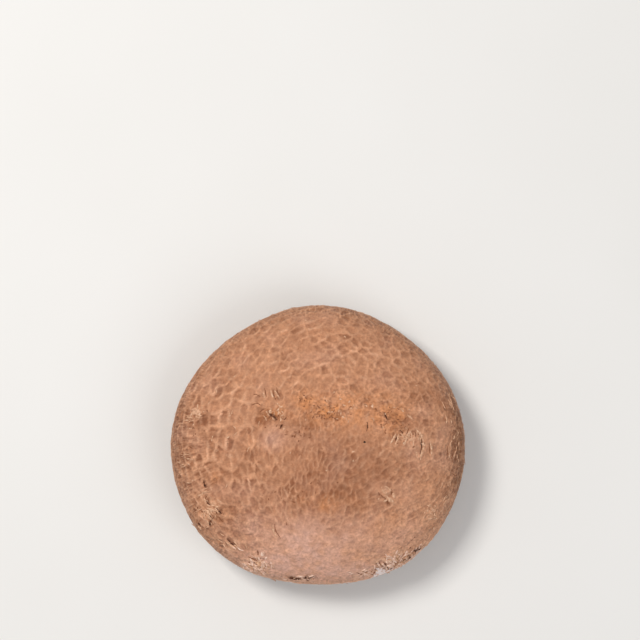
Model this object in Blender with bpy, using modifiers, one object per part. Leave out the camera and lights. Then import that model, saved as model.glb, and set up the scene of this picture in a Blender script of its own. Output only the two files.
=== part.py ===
"""A whole portobello mushroom, standing cap up on the cut end of its stem.

Metres, +Z up. The origin is the centre of the stem's cut end. +X is the cap's long way.
Three bodies, one for each tissue and colour: the brown cap, the dark gills and the cream stem.
"""

import math

import bmesh
import bpy
from mathutils import Vector, noise

MM = 0.001

# Driving dimensions of the cap.
CAP_RADIUS = 54.8 * MM
CAP_TOP = 42.0 * MM
WIDEST_HEIGHT = 15.0 * MM
DOME_ROUNDNESS = 2.5

# The plan outline departs from a circle by these waves: turns, cosine and sine height.
OUTLINE_WAVES = (
    (2, 1.4 * MM, 0.0),
    (3, -0.2 * MM, -0.6 * MM),
    (5, 0.0, 0.4 * MM),
)
# The rim rises and falls by these waves: turns, height and phase.
RIM_WAVES = ((2, 0.8 * MM, 0.7), (3, 0.5 * MM, 2.1))

# The rolled margin, outside to inside, as share of the cap's radius and height.
MARGIN = (
    (0.996, 12.8 * MM),
    (0.980, 10.8 * MM),
    (0.950, 9.2 * MM),
    (0.915, 8.5 * MM),
    (0.884, 9.0 * MM),
    (0.866, 10.6 * MM),
)
# The torn veil hangs from this inner edge of the margin.
VEIL_EDGE = 0.866
VEIL_RAGGED = 4.5 * MM
VEIL_TEAR = 5.0 * MM

# The underside of the flesh, from the margin to the stem, as share of the radius and height.
UNDERSIDE = (
    (0.860, 14.0 * MM),
    (0.800, 19.0 * MM),
    (0.640, 23.6 * MM),
    (0.440, 25.6 * MM),
    (0.265, 25.2 * MM),
)

# The free edge of a full gill, from the stem to the margin.
GILL_EDGE = (
    (0.300, 20.0 * MM),
    (0.345, 16.4 * MM),
    (0.450, 13.3 * MM),
    (0.600, 11.6 * MM),
    (0.780, 11.2 * MM),
    (0.846, 12.8 * MM),
)
GILL_THICKNESS = 0.8 * MM
GILL_ROUND = 40
GILL_STARTS = (0.300, 0.700, 0.520, 0.700)
GILL_BED = 1.0 * MM
GILL_ROOT = 0.6 * MM
GILL_BED_OUTER = 0.852
GILL_BED_INNER = 0.285

STEM_RADIUS = 13.6 * MM
STEM_OVAL = 0.035
STEM_PROFILE = (
    (0.985, 0.0),
    (1.045, 0.7 * MM),
    (1.055, 2.6 * MM),
    (1.010, 6.0 * MM),
    (0.985, 9.4 * MM),
    (1.090, 10.3 * MM),
    (1.075, 11.1 * MM),
    (0.975, 11.8 * MM),
    (0.960, 17.0 * MM),
    (0.990, 22.0 * MM),
    (1.030, 24.9 * MM),
)
STEM_RING = (8.0 * MM, 12.5 * MM)
STEM_RING_SWAY = 2.2 * MM
STEM_FIBRES = 11
STEM_FIBRE_RELIEF = 0.018

# Clearance left between neighbouring bodies.
GAP = 0.3 * MM

# Scales raised on the cap's skin, which spread out from a centre that sits a little back.
SCALE_CENTRE = (2.5 * MM, 10.5 * MM)
SCALE_SIZE = 8.5 * MM
SCALE_RELIEF = 0.8 * MM
SCALE_SPREAD = 0.9
SCALE_GROOVE = 0.45
DENT_SIZE = 26.0 * MM
DENT_RELIEF = 0.8 * MM

DOME_RINGS = 23
BED_TURNS = 80
STEM_TURNS = 36
MERGE = 0.001 * MM


def smooth_step(low, high, value):
    """0 below low, 1 above high, and an even ease between."""
    share = min(1.0, max(0.0, (value - low) / (high - low)))
    return share * share * (3 - 2 * share)


def height_on(line, share):
    """The height of a line of (share of radius, height) points at a share of the radius."""
    points = sorted(line)
    for (near, low), (far, high) in zip(points, points[1:]):
        if share <= far:
            along = (share - near) / (far - near)
            return low + (high - low) * max(0.0, along)
    return points[-1][1]


def outline_radius(angle):
    """The cap's plan radius at an angle round the stem."""
    waves = sum(c * math.cos(n * angle) + s * math.sin(n * angle) for n, c, s in OUTLINE_WAVES)
    return CAP_RADIUS + waves


def grown(x, y, z):
    """Where a point of the evenly turned mushroom lies on the grown one, with its uneven rim."""
    radius = math.hypot(x, y)
    angle = math.atan2(y, x)
    share = radius / CAP_RADIUS
    stretch = outline_radius(angle) / CAP_RADIUS - 1
    stretch *= smooth_step(0.3, 0.85, share)
    lift = sum(h * math.sin(n * angle + p) for n, h, p in RIM_WAVES)
    return Vector((x * (1 + stretch), y * (1 + stretch), z + lift * share**3))


def turned(name, profile, turns):
    """The closed mesh of a profile of (radius, height) points turned round Z."""
    mesh = bpy.data.meshes.new(name)
    points = [(radius, 0.0, height) for radius, height in profile]
    edges = [(i, i + 1) for i in range(len(points) - 1)]
    mesh.from_pydata(points, edges, [])
    guide = bpy.data.objects.new(name, mesh)
    bpy.context.scene.collection.objects.link(guide)
    screw = guide.modifiers.new("turn", "SCREW")
    screw.steps = screw.render_steps = turns
    screw.use_merge_vertices = True
    screw.merge_threshold = MERGE
    made = mesh_of(guide)
    bpy.data.objects.remove(guide)
    return made


def mesh_of(guide):
    """A guide object's evaluated shape as a mesh with its doubled points welded."""
    bpy.context.view_layer.update()
    graph = bpy.context.evaluated_depsgraph_get()
    made = bpy.data.meshes.new_from_object(guide.evaluated_get(graph))
    shape = bmesh.new()
    shape.from_mesh(made)
    bmesh.ops.remove_doubles(shape, verts=shape.verts, dist=MERGE)
    bmesh.ops.dissolve_degenerate(shape, edges=shape.edges, dist=MERGE)
    shape.to_mesh(made)
    shape.free()
    return made


def dome_rings():
    """Evenly spaced (share of radius, height) points from the dome's apex down to its rim."""
    rise = CAP_TOP - WIDEST_HEIGHT
    fine = []
    for step in range(DOME_RINGS * 20 + 1):
        share = math.sin(math.pi / 2 * step / (DOME_RINGS * 20))
        fine.append((share, WIDEST_HEIGHT + rise * math.sqrt(1 - share**DOME_ROUNDNESS)))
    lengths = [0.0]
    for (near, high), (far, low) in zip(fine, fine[1:]):
        lengths.append(lengths[-1] + math.hypot((far - near) * CAP_RADIUS, high - low))
    marks = [lengths[-1] * ring / DOME_RINGS for ring in range(DOME_RINGS)]
    chosen = [min(range(len(fine)), key=lambda i: abs(lengths[i] - mark)) for mark in marks]
    return [fine[i] for i in chosen] + [fine[-1]]


def turn_in_square(u, v):
    """The angle on a disc that a point of a square goes to when its rings are rounded."""
    if abs(u) >= abs(v):
        return math.pi / 4 * v / u + (math.pi if u < 0 else 0.0) if u else 0.0
    return math.pi / 2 - math.pi / 4 * u / v + (math.pi if v < 0 else 0.0)


def scale_relief(x, y):
    """How far the skin stands up at a point: flat-topped scales with grooves between them."""
    out = Vector((x - SCALE_CENTRE[0], y - SCALE_CENTRE[1]))
    reach = max(out.length, MM)
    squeezed = out * (reach / CAP_RADIUS) ** (SCALE_SPREAD - 1)
    near, _ = noise.voronoi(Vector((squeezed.x / SCALE_SIZE, squeezed.y / SCALE_SIZE, 0.0)))
    plateau = smooth_step(0.0, SCALE_GROOVE, near[1] - near[0])
    dents = noise.noise(Vector((x / DENT_SIZE, y / DENT_SIZE, 1.7)))
    return SCALE_RELIEF * (plateau - 0.5) + DENT_RELIEF * dents


def veil_drop(angle):
    """How far the torn veil hangs at an angle, between nothing and its full raggedness."""
    along_rim = Vector((math.cos(angle), math.sin(angle), 0.0)) * CAP_RADIUS / VEIL_TEAR
    return VEIL_RAGGED * max(0.0, noise.noise(along_rim))


def even_cap():
    """The even cap before it grows: a grid rounded into a dome, then rings round the margin."""
    shape = bmesh.new()
    bmesh.ops.create_grid(shape, x_segments=2 * DOME_RINGS, y_segments=2 * DOME_RINGS, size=1.0)
    rings = dome_rings()
    for point in shape.verts:
        u, v, _ = point.co
        share, height = rings[round(max(abs(u), abs(v)) * DOME_RINGS)]
        angle = turn_in_square(u, v)
        radius = share * CAP_RADIUS
        point.co = (radius * math.cos(angle), radius * math.sin(angle), height)
    edges = [edge for edge in shape.edges if edge.is_boundary]
    reached = 1.0
    for share, height in (*MARGIN, *UNDERSIDE):
        made = bmesh.ops.extrude_edge_only(shape, edges=edges)["geom"]
        for point in [piece for piece in made if isinstance(piece, bmesh.types.BMVert)]:
            x, y, _ = point.co * (share / reached)
            point.co = (x, y, height)
        edges = [piece for piece in made if isinstance(piece, bmesh.types.BMEdge) and piece.is_boundary]
        reached = share
    bmesh.ops.edgeloop_fill(shape, edges=edges)
    bmesh.ops.triangulate(shape, faces=shape.faces, quad_method="SHORT_EDGE")
    bmesh.ops.recalc_face_normals(shape, faces=shape.faces)
    mesh = bpy.data.meshes.new("cap")
    shape.to_mesh(mesh)
    shape.free()
    return mesh


def make_cap():
    """The flesh and skin of the cap: scaly dome, rolled margin and hollow underside."""
    mesh = even_cap()
    normals = [point.normal.copy() for point in mesh.vertices]
    for point, normal in zip(mesh.vertices, normals):
        x, y, z = point.co
        share = math.hypot(x, y) / CAP_RADIUS
        if abs(share - VEIL_EDGE) < MM and z < WIDEST_HEIGHT:
            z -= veil_drop(math.atan2(y, x))
        place = grown(x, y, z)
        if normal.z > 0:
            fade = smooth_step(WIDEST_HEIGHT, WIDEST_HEIGHT + 6 * MM, z)
            place += normal * scale_relief(place.x, place.y) * fade
        point.co = place
    return mesh


def bed_mesh():
    """The thin layer that the gills hang from, a gap below the flesh."""
    line = [(share, height) for share, height in sorted(UNDERSIDE) if share < GILL_BED_OUTER]
    line = [(GILL_BED_INNER, UNDERSIDE[-1][1]), *line[1:]]
    line.append((GILL_BED_OUTER, height_on(UNDERSIDE, GILL_BED_OUTER) - GAP))
    upper = [(share * CAP_RADIUS, height - 1.6 * GAP) for share, height in line]
    lower = [(radius, height - GILL_BED) for radius, height in upper]
    mesh = turned("gill_bed", upper + lower[::-1] + upper[:1], BED_TURNS)
    for point in mesh.vertices:
        point.co = grown(*point.co)
    return mesh


def blade_outline(start):
    """The side view of a gill that begins at a share of the radius: its root, then its edge."""
    root_drop = 1.6 * GAP + GILL_ROOT
    shares = [share for share, _ in GILL_EDGE if share > start + 0.02]
    bends = [share for share, _ in sorted(UNDERSIDE) if start < share < shares[-1]]
    top = [(share, height_on(UNDERSIDE, share) - root_drop) for share in (start, *bends, shares[-1])]
    full = GILL_STARTS[0] == start
    edge = []
    for share in shares:
        deep = 1.0 if full else smooth_step(start - 0.06, start + 0.2, share)
        low = height_on(GILL_EDGE, share)
        high = height_on(UNDERSIDE, share) - root_drop - GILL_BED
        edge.append((share, high + (low - high) * deep))
    if full:
        edge.insert(0, GILL_EDGE[0])
    return top + edge[::-1]


def blade_mesh(start):
    """A gill as a flat slab: X is its radius, Y its height, and its thickness lies on Z."""
    flat = bpy.data.curves.new("gill", "CURVE")
    flat.dimensions = "2D"
    flat.fill_mode = "BOTH"
    flat.extrude = GILL_THICKNESS / 2
    outline = blade_outline(start)
    spline = flat.splines.new("POLY")
    spline.points.add(len(outline) - 1)
    for point, (share, height) in zip(spline.points, outline):
        point.co = (share * CAP_RADIUS, height, 0.0, 1.0)
    spline.use_cyclic_u = True
    guide = bpy.data.objects.new("gill", flat)
    bpy.context.scene.collection.objects.link(guide)
    made = mesh_of(guide)
    bpy.data.objects.remove(guide)
    return made


def placed_blade(blade, angle):
    """A copy of a gill stood on edge at an angle round the stem."""
    mesh = blade.copy()
    along = Vector((math.cos(angle), math.sin(angle), 0.0))
    across = Vector((-along.y, along.x, 0.0))
    for point in mesh.vertices:
        radius, height, side = point.co
        turned_point = along * radius - across * side
        point.co = grown(turned_point.x, turned_point.y, height)
    return mesh


def make_gills():
    """Long, middling and short gills in turn round the stem, fused to the bed they hang from."""
    fused = bpy.data.collections.new("gill_blades")
    bpy.context.scene.collection.children.link(fused)
    blades = {start: blade_mesh(start) for start in set(GILL_STARTS)}
    count = GILL_ROUND * len(GILL_STARTS)
    for number in range(count):
        start = GILL_STARTS[number % len(GILL_STARTS)]
        angle = 2 * math.pi * number / count
        mesh = placed_blade(blades[start], angle)
        fused.objects.link(bpy.data.objects.new("gill_blade", mesh))
    body = bpy.data.objects.new("gill_bed", bed_mesh())
    bpy.context.scene.collection.objects.link(body)
    union = body.modifiers.new("fuse", "BOOLEAN")
    union.operation = "UNION"
    union.operand_type = "COLLECTION"
    union.collection = fused
    union.solver = "MANIFOLD"
    made = mesh_of(body)
    for blade in list(fused.objects):
        bpy.data.objects.remove(blade)
    bpy.data.collections.remove(fused)
    bpy.data.objects.remove(body)
    return made


def make_stem():
    """The stout stem, slightly oval and fibrous, with the low torn ring that the veil left."""
    outline = [(share * STEM_RADIUS, height) for share, height in STEM_PROFILE]
    foot, top = outline[0][1], UNDERSIDE[-1][1] - GAP
    outline[-1] = (outline[-1][0], top)
    mesh = turned("stem", [(0.0, top), *outline[::-1], (0.0, foot)], STEM_TURNS)
    for point in mesh.vertices:
        x, y, z = point.co
        angle = math.atan2(y, x)
        oval = STEM_OVAL * math.cos(2 * angle + 0.6)
        fibres = STEM_FIBRE_RELIEF * math.sin(STEM_FIBRES * angle + 40 * z)
        swell = 1 + oval + fibres * smooth_step(foot, foot + 3 * MM, z)
        sway = 0.0
        if STEM_RING[0] < z < STEM_RING[1]:
            sway = STEM_RING_SWAY * noise.noise(Vector((2 * math.cos(angle), 2 * math.sin(angle), 0.5)))
        point.co = (x * swell, y * swell, z + sway)
    return mesh


def material(name, colour, roughness):
    """A plain surface of one colour for the solid."""
    made = bpy.data.materials.new(name)
    made.use_nodes = True
    shader = made.node_tree.nodes["Principled BSDF"]
    shader.inputs["Base Color"].default_value = (*colour, 1.0)
    shader.inputs["Roughness"].default_value = roughness
    shader.inputs["Metallic"].default_value = 0.0
    made.diffuse_color = (*colour, 1.0)
    return made


def outward(mesh):
    """Turns every face of a closed mesh outwards."""
    shape = bmesh.new()
    shape.from_mesh(mesh)
    bmesh.ops.recalc_face_normals(shape, faces=shape.faces)
    shape.to_mesh(mesh)
    shape.free()


def add_part(collection, name, mesh, finish):
    """A named body of the mushroom with its finish, shaded smooth but for its sharp edges."""
    outward(mesh)
    mesh.name = name
    mesh.shade_smooth()
    mesh.set_sharp_from_angle(angle=math.radians(50))
    mesh.materials.clear()
    mesh.materials.append(finish)
    part = bpy.data.objects.new(name, mesh)
    collection.objects.link(part)
    return part


def main():
    for old in list(bpy.data.objects):
        bpy.data.objects.remove(old)
    mushroom = bpy.data.collections.new("portobello_mushroom")
    bpy.context.scene.collection.children.link(mushroom)
    add_part(mushroom, "cap", make_cap(), material("cap_skin", (0.46, 0.24, 0.14), 0.75))
    add_part(mushroom, "gills", make_gills(), material("gill_brown", (0.075, 0.028, 0.018), 0.85))
    add_part(mushroom, "stem", make_stem(), material("stem_cream", (0.72, 0.58, 0.42), 0.8))


main()
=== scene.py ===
"""A whole portobello mushroom standing cap up on its cut stem, seen from straight above.

Metres, +Z up. Cap, gills and stem stand where their solids do and take finer skin, blades and fibres.
"""

import math
import random

import bpy
import numpy as np
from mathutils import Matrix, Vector, noise
from mathutils.bvhtree import BVHTree


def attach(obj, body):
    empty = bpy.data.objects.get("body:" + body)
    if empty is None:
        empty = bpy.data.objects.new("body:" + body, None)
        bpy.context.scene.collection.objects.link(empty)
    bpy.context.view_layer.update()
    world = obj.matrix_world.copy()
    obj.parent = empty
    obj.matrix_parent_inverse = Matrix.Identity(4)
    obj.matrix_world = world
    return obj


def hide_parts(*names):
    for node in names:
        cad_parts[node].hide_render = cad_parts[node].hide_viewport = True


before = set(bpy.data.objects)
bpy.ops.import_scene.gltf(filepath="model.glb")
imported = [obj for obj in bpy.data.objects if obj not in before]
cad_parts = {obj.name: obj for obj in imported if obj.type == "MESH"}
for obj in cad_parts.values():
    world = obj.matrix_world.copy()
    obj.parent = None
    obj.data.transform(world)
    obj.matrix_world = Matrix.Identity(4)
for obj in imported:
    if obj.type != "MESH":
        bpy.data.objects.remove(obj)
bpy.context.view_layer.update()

MM = 0.001

# Where the camera stands and what one of the photograph's pixels covers at the cap's rim.
PHOTO_SIDE = 640
PIXEL = 0.3823 * MM
STEM_PIXEL = (318.5, 447.5)
RIM_HEIGHT = 15.0 * MM
CAMERA_HEIGHT = 1.2
SENSOR = 36.0

# Each light: place, side, power and colour.
KEY_LIGHT = ((-0.48, 0.42, 1.0), 0.34, 8.6, (1.0, 0.98, 0.95))
FILL_LIGHT = ((0.7, -0.55, 1.0), 0.9, 4.6, (0.98, 0.99, 1.0))
SKY_COLOUR = (0.96, 0.97, 1.0, 1.0)
SKY_STRENGTH = 0.42
FLOOR_SIDE = 4.0

# The cap's form, as its solid has it.
CAP_RADIUS = 54.8 * MM
CAP_TOP = 42.0 * MM
WIDEST_HEIGHT = 15.0 * MM
DOME_ROUNDNESS = 2.5
OUTLINE_WAVES = (
    (2, 1.4 * MM, 0.0),
    (3, -0.2 * MM, -0.6 * MM),
    (5, 0.0, 0.4 * MM),
)
RIM_WAVES = ((2, 0.8 * MM, 0.7), (3, 0.5 * MM, 2.1))
MARGIN = (
    (1.000, 15.0 * MM),
    (0.996, 12.8 * MM),
    (0.980, 10.8 * MM),
    (0.950, 9.2 * MM),
    (0.915, 8.5 * MM),
    (0.884, 9.0 * MM),
    (0.866, 10.6 * MM),
)
UNDERSIDE = (
    (0.866, 10.6 * MM),
    (0.860, 14.0 * MM),
    (0.800, 19.0 * MM),
    (0.640, 23.6 * MM),
    (0.440, 25.6 * MM),
    (0.265, 25.2 * MM),
)
# Between which shares of the radius the uneven outline grows to its full.
OUTLINE_GROWS = (0.3, 0.85)
# The place that the fibres run out from.
GROWTH_CENTRE = (2.5 * MM, 10.5 * MM)
GAP = 0.3 * MM

# How finely the cap is divided, and how many places first trace a curve.
DOME_RINGS = 134
MARGIN_RINGS = 18
UNDER_RINGS = 6
DOME_TRACE = 4000
CURVE_TRACE = 24

# Points closer than this are one.
SEAM = 0.001 * MM
# The sharpest turn in degrees that is still shaded smooth, on the skin and elsewhere.
SKIN_CREASE = 75
CREASE = 50

# The gills.
GILL_EDGE = (
    (0.300, 20.0 * MM),
    (0.345, 16.4 * MM),
    (0.450, 13.3 * MM),
    (0.600, 11.6 * MM),
    (0.780, 11.2 * MM),
    (0.846, 12.8 * MM),
)
GILL_ROUND = 72
GILL_STARTS = (0.300, 0.700, 0.520, 0.690)
GILL_THICKNESS = 0.46 * MM
GILL_EDGE_THICKNESS = 0.24 * MM
GILL_SWAY = 0.42 * MM
GILL_BED = 1.0 * MM
GILL_ROOT = 0.6 * MM
GILL_STATIONS = 16
BED_OUTER = 0.852
BED_INNER = 0.285
BED_STATIONS = 16
BED_TURNS = 144
GILL_DRAW = 3
# How far a gill's start and its angle stray, in shares of the radius and of the gills' spacing.
START_STRAY = 0.045
ANGLE_STRAY = 0.1
# How far below the flesh the gills' bed begins.
ROOF_GAP = 1.6 * GAP
# Before and past its start, a short gill grows out of the bed over these shares of the radius.
SHORT_GILL_GROWS = (-0.06, 0.2)
GILL_RAGGED = 0.28 * MM
GILL_RAGGED_RUN = 30
SWAY_RUN = 6
SWAY_DEPTH = 0.8
SWAY_GROWS = 0.15
GILL_LAYER = 1.37
# From which share of its depth a gill is paler.
PALE_EDGE = (0.6, 1.0)

# The stem.
STEM_RADIUS = 13.6 * MM
STEM_OVAL = 0.035
STEM_TURNS = 160
STEM_PROFILE = (
    (0.985, 0.0),
    (1.045, 0.7 * MM),
    (1.055, 2.6 * MM),
    (1.010, 6.0 * MM),
    (0.985, 9.4 * MM),
    (0.980, 11.1 * MM),
    (0.970, 13.0 * MM),
    (0.960, 17.0 * MM),
    (0.990, 22.0 * MM),
    (1.030, 24.9 * MM),
)


def smooth_step(low, high, value):
    """0 before low, 1 past high, and an even ease between, for numbers or arrays."""
    share = np.clip((value - low) / (high - low), 0.0, 1.0)
    return share * share * (3 - 2 * share)


def noise_at(x, y, z=0.0):
    """Smooth noise from about -1 to 1 at each point of three lists of numbers."""
    x, y, z = np.broadcast_arrays(x, y, z)
    flat = zip(x.ravel().tolist(), y.ravel().tolist(), z.ravel().tolist())
    return np.array([noise.noise(point) for point in flat]).reshape(x.shape)


def tint(red, green, blue):
    """A colour as a screen shows it, from 0 to 255, turned by the sRGB rule into its light."""
    shown = np.array((red, green, blue)) / 255
    light = np.where(shown <= 0.04045, shown / 12.92, ((shown + 0.055) / 1.055) ** 2.4)
    return (*light.tolist(), 1.0)


# Camera, light and floor.


def set_camera():
    """A camera straight above, far enough off to flatten the view as the photograph's does."""
    eye = bpy.data.cameras.new("camera")
    eye.sensor_width = SENSOR
    eye.lens = SENSOR * (CAMERA_HEIGHT - RIM_HEIGHT) / (PHOTO_SIDE * PIXEL)
    camera = bpy.data.objects.new("camera", eye)
    camera.location = (*camera_place(), CAMERA_HEIGHT)
    bpy.context.scene.collection.objects.link(camera)
    bpy.context.scene.camera = camera


def camera_place():
    """Where the camera stands over the floor."""
    half = PHOTO_SIDE / 2
    return (half - STEM_PIXEL[0]) * PIXEL, (STEM_PIXEL[1] - half) * PIXEL


def pixels_of(points):
    """The photograph's pixel that each point of an array falls on."""
    across, up = camera_place()
    shrink = (CAMERA_HEIGHT - RIM_HEIGHT) / (CAMERA_HEIGHT - points[:, 2]) / PIXEL
    half = PHOTO_SIDE / 2
    return half + (points[:, 0] - across) * shrink, half - (points[:, 1] - up) * shrink


def camera_ray(pixel):
    """Where the camera stands, and the direction in which it sees a pixel of the photograph."""
    across, up = camera_place()
    half = PHOTO_SIDE / 2
    eye = Vector((across, up, CAMERA_HEIGHT))
    seen = Vector((across + (pixel[0] - half) * PIXEL, up - (pixel[1] - half) * PIXEL, RIM_HEIGHT))
    return eye, (seen - eye).normalized()


def add_light(name, place, size, power, colour):
    """A square soft light that faces the mushroom."""
    lamp = bpy.data.lights.new(name, "AREA")
    lamp.shape = "SQUARE"
    lamp.size = size
    lamp.energy = power
    lamp.color = colour
    light = bpy.data.objects.new(name, lamp)
    light.location = place
    light.rotation_euler = Vector(place).to_track_quat("Z", "Y").to_euler()
    bpy.context.scene.collection.objects.link(light)


def set_studio():
    """Soft light from the upper left over an even pale surround."""
    add_light("key_light", *KEY_LIGHT)
    add_light("fill_light", *FILL_LIGHT)
    world = bpy.data.worlds.new("studio")
    world.use_nodes = True
    sky = world.node_tree.nodes["Background"]
    sky.inputs["Color"].default_value = SKY_COLOUR
    sky.inputs["Strength"].default_value = SKY_STRENGTH
    bpy.context.scene.world = world
    bpy.context.scene.view_settings.view_transform = "Standard"


# Making meshes.


def deselect():
    bpy.ops.object.select_all(action="DESELECT")


def grid_piece(name, across, along):
    """A flat grid from -1 to 1 both ways, which is then shaped."""
    deselect()
    bpy.ops.mesh.primitive_grid_add(x_subdivisions=across, y_subdivisions=along, size=2.0)
    piece = bpy.context.object
    piece.name = name
    piece.data.name = name
    return piece


def points_of(piece):
    """A piece's points as an array of rows."""
    flat = np.empty(len(piece.data.vertices) * 3)
    piece.data.vertices.foreach_get("co", flat)
    return flat.reshape(-1, 3)


def normals_of(piece):
    """The direction that the surface faces at each point."""
    flat = np.empty(len(piece.data.vertices) * 3)
    piece.data.vertices.foreach_get("normal", flat)
    return flat.reshape(-1, 3)


def place_points(piece, points):
    """Puts a piece's points at the rows of an array."""
    piece.data.vertices.foreach_set("co", np.asarray(points, float).ravel())
    piece.data.update()


def paint(piece, name, values):
    """Keeps a number for each point, which the material reads by its name."""
    layer = piece.data.attributes.new(name, "FLOAT", "POINT")
    layer.data.foreach_set("value", np.asarray(values, np.float32))


def paint_rows(piece, name, rows):
    """Keeps three numbers for each point, which the material reads by their name."""
    layer = piece.data.attributes.new(name, "FLOAT_VECTOR", "POINT")
    layer.data.foreach_set("vector", np.asarray(rows, np.float32).ravel())


def face_outwards(piece):
    """Turns the faces of a closed piece outwards."""
    deselect()
    piece.select_set(True)
    bpy.context.view_layer.objects.active = piece
    bpy.ops.object.mode_set(mode="EDIT")
    bpy.ops.mesh.select_all(action="SELECT")
    bpy.ops.mesh.normals_make_consistent(inside=False)
    bpy.ops.object.mode_set(mode="OBJECT")


def joined(name, pieces):
    """One object of several."""
    deselect()
    for piece in pieces:
        piece.select_set(True)
    bpy.context.view_layer.objects.active = pieces[0]
    if len(pieces) > 1:
        bpy.ops.object.join()
    pieces[0].name = name
    pieces[0].data.name = name
    return pieces[0]


def shade_smooth(piece, degrees):
    """Shades a piece smooth but for its sharp edges."""
    deselect()
    piece.select_set(True)
    bpy.context.view_layer.objects.active = piece
    bpy.ops.object.shade_smooth_by_angle(angle=math.radians(degrees))


def finish_piece(piece, material, replaced=None):
    """Gives a piece its material and its place on the mushroom."""
    piece.data.materials.clear()
    piece.data.materials.append(material)
    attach(piece, "root")
    if replaced:
        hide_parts(replaced)


def curve_through(points, steps):
    """A smooth line through points, at evenly spaced places, with its length so far at each."""
    points = np.array(points, float)
    ends = np.vstack((2 * points[0] - points[1], points, 2 * points[-1] - points[-2]))
    fine = []
    for a, b, c, d in zip(ends, ends[1:], ends[2:], ends[3:]):
        for t in np.linspace(0, 1, CURVE_TRACE, endpoint=False):
            bend = (2 * a - 5 * b + 4 * c - d) * t * t + (3 * b - a - 3 * c + d) * t**3
            fine.append(b + 0.5 * ((c - a) * t + bend))
    fine.append(points[-1])
    return evenly(np.array(fine), steps)


def evenly(line, steps):
    """Places evenly spaced along a line of (share of radius, height) points, and their lengths."""
    spans = np.hypot(np.diff(line[:, 0]) * CAP_RADIUS, np.diff(line[:, 1]))
    lengths = np.concatenate(([0.0], np.cumsum(spans)))
    marks = np.linspace(0, lengths[-1], steps + 1)
    share = np.interp(marks, lengths, line[:, 0])
    height = np.interp(marks, lengths, line[:, 1])
    return np.column_stack((share, height)), marks


def height_on(line, share):
    """The height of a line of (share of radius, height) points at a share of the radius."""
    line = np.array(sorted(line))
    return np.interp(share, line[:, 0], line[:, 1])


def grown(points):
    """Where points of the evenly turned mushroom lie on the grown one, with its uneven rim."""
    x, y, z = points.T
    angle = np.arctan2(y, x)
    share = np.hypot(x, y) / CAP_RADIUS
    outline = CAP_RADIUS + sum(
        c * np.cos(n * angle) + s * np.sin(n * angle) for n, c, s in OUTLINE_WAVES
    )
    stretch = 1 + (outline / CAP_RADIUS - 1) * smooth_step(*OUTLINE_GROWS, share)
    lift = sum(h * np.sin(n * angle + p) for n, h, p in RIM_WAVES)
    return np.column_stack((x * stretch, y * stretch, z + lift * share**3))


def turned(name, profile, turns):
    """A profile of (radius, height) points turned round the stem's axis into a mesh."""
    mesh = bpy.data.meshes.new(name)
    mesh.from_pydata([(r, 0.0, z) for r, z in profile], [(i, i + 1) for i in range(len(profile) - 1)], [])
    piece = bpy.data.objects.new(name, mesh)
    bpy.context.scene.collection.objects.link(piece)
    screw = piece.modifiers.new("turn", "SCREW")
    screw.steps = screw.render_steps = turns
    screw.use_merge_vertices = True
    screw.merge_threshold = SEAM
    deselect()
    piece.select_set(True)
    bpy.context.view_layer.objects.active = piece
    bpy.ops.object.modifier_apply(modifier=screw.name)
    bpy.ops.object.mode_set(mode="EDIT")
    bpy.ops.mesh.select_all(action="SELECT")
    bpy.ops.mesh.remove_doubles(threshold=SEAM)
    bpy.ops.object.mode_set(mode="OBJECT")
    return piece


# Materials.

# How much of a painted mark lets noise tear its edge fully.
RAGGED_FULL = 0.3
GLOSS = 0.3
# The skin's patterns: size, detail and roughness of each noise.
MOTTLE = (2.4 * MM, 4.0, 0.62)
GRAIN = (0.9 * MM, 3.0, 0.65)
SPECK = (0.95 * MM, 2.0, 0.5)
FINE_GRAIN = (0.4 * MM, 2.0, 0.6)
FIBRE_GRAIN = (1.0, 2.0, 0.6)
FIBRE_SCALE = (75.0, 75.0, 0.22)
HAIR_SCALE = (170.0, 170.0, 0.35)
# How far noise pushes the skin's cells about: the size of its bumps and its reach.
CELL_SHAKE = (1.5 * MM, 1.3 * MM)
CELL_SIZE = 1.9 * MM
UPRIGHT_CELL = (1.3 * MM, 3.6 * MM, 3.0 * MM)
# Ranges: from which to which value a pattern is used, and what these two become.
CELL_LINES = (0.2, 0.0, 0.0, 0.28)
UPRIGHT_LINES = (0.26, 0.0, 0.0, 0.3)
STRAND_RANGE = (0.52, 0.66, 0.0, 0.5)
CREASE_RANGE = (0.46, 0.34, 0.0, 0.4)
SPECK_RANGE = (0.0, 1.0, 0.0, 2.6)
MOTTLE_SHADE = (0.3, 0.7, 0.91, 1.09)
LINE_SHADE = (0.35, 0.65, 0.1, 0.7)
SKIN_ROUGHNESS = (0.3, 0.7, 0.62, 0.8)
# How much of each painted mark shows, once its edge is torn.
STAIN_AND_SHADOW_SHOWS = (0.15, 1.05)
PALE_SHOWS = (0.1, 0.9)
FLESH_AND_RIM_LIGHT_SHOWS = (0.3, 0.7)
DARK_SHOWS = (0.2, 0.85)
# How high the finish's bumps stand, and how strongly they act.
LINE_BUMP = 0.25 * MM
GRIT_BUMP = 0.4 * MM
FIBRE_BUMP = 0.45 * MM
FINE_BUMP = 0.06 * MM
BUMP_STRENGTH = 0.8
SKIN_SHEEN = 0.04
SHEEN_ROUGHNESS = 0.45
SKIN_GLOSS = 0.22
# The skin's colours.
DARK_SKIN = tint(130, 79, 51)
LIGHT_SKIN = tint(212, 154, 117)
WEB_TINT = tint(226, 174, 140)
RUST_TINT = tint(204, 134, 84)
ROSE_TINT = tint(206, 160, 140)
OLIVE_TINT = tint(122, 80, 48)
STRAND_TINT = tint(222, 178, 144)
CREASE_TINT = tint(120, 78, 52)
STAIN_AND_SHADOW_TINT = tint(114, 64, 36)
PALE_TINT = tint(230, 182, 148)
FLESH_AND_RIM_LIGHT_TINTS = (tint(236, 214, 206), tint(252, 238, 232))
DARK_TINT = tint(62, 30, 18)
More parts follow.
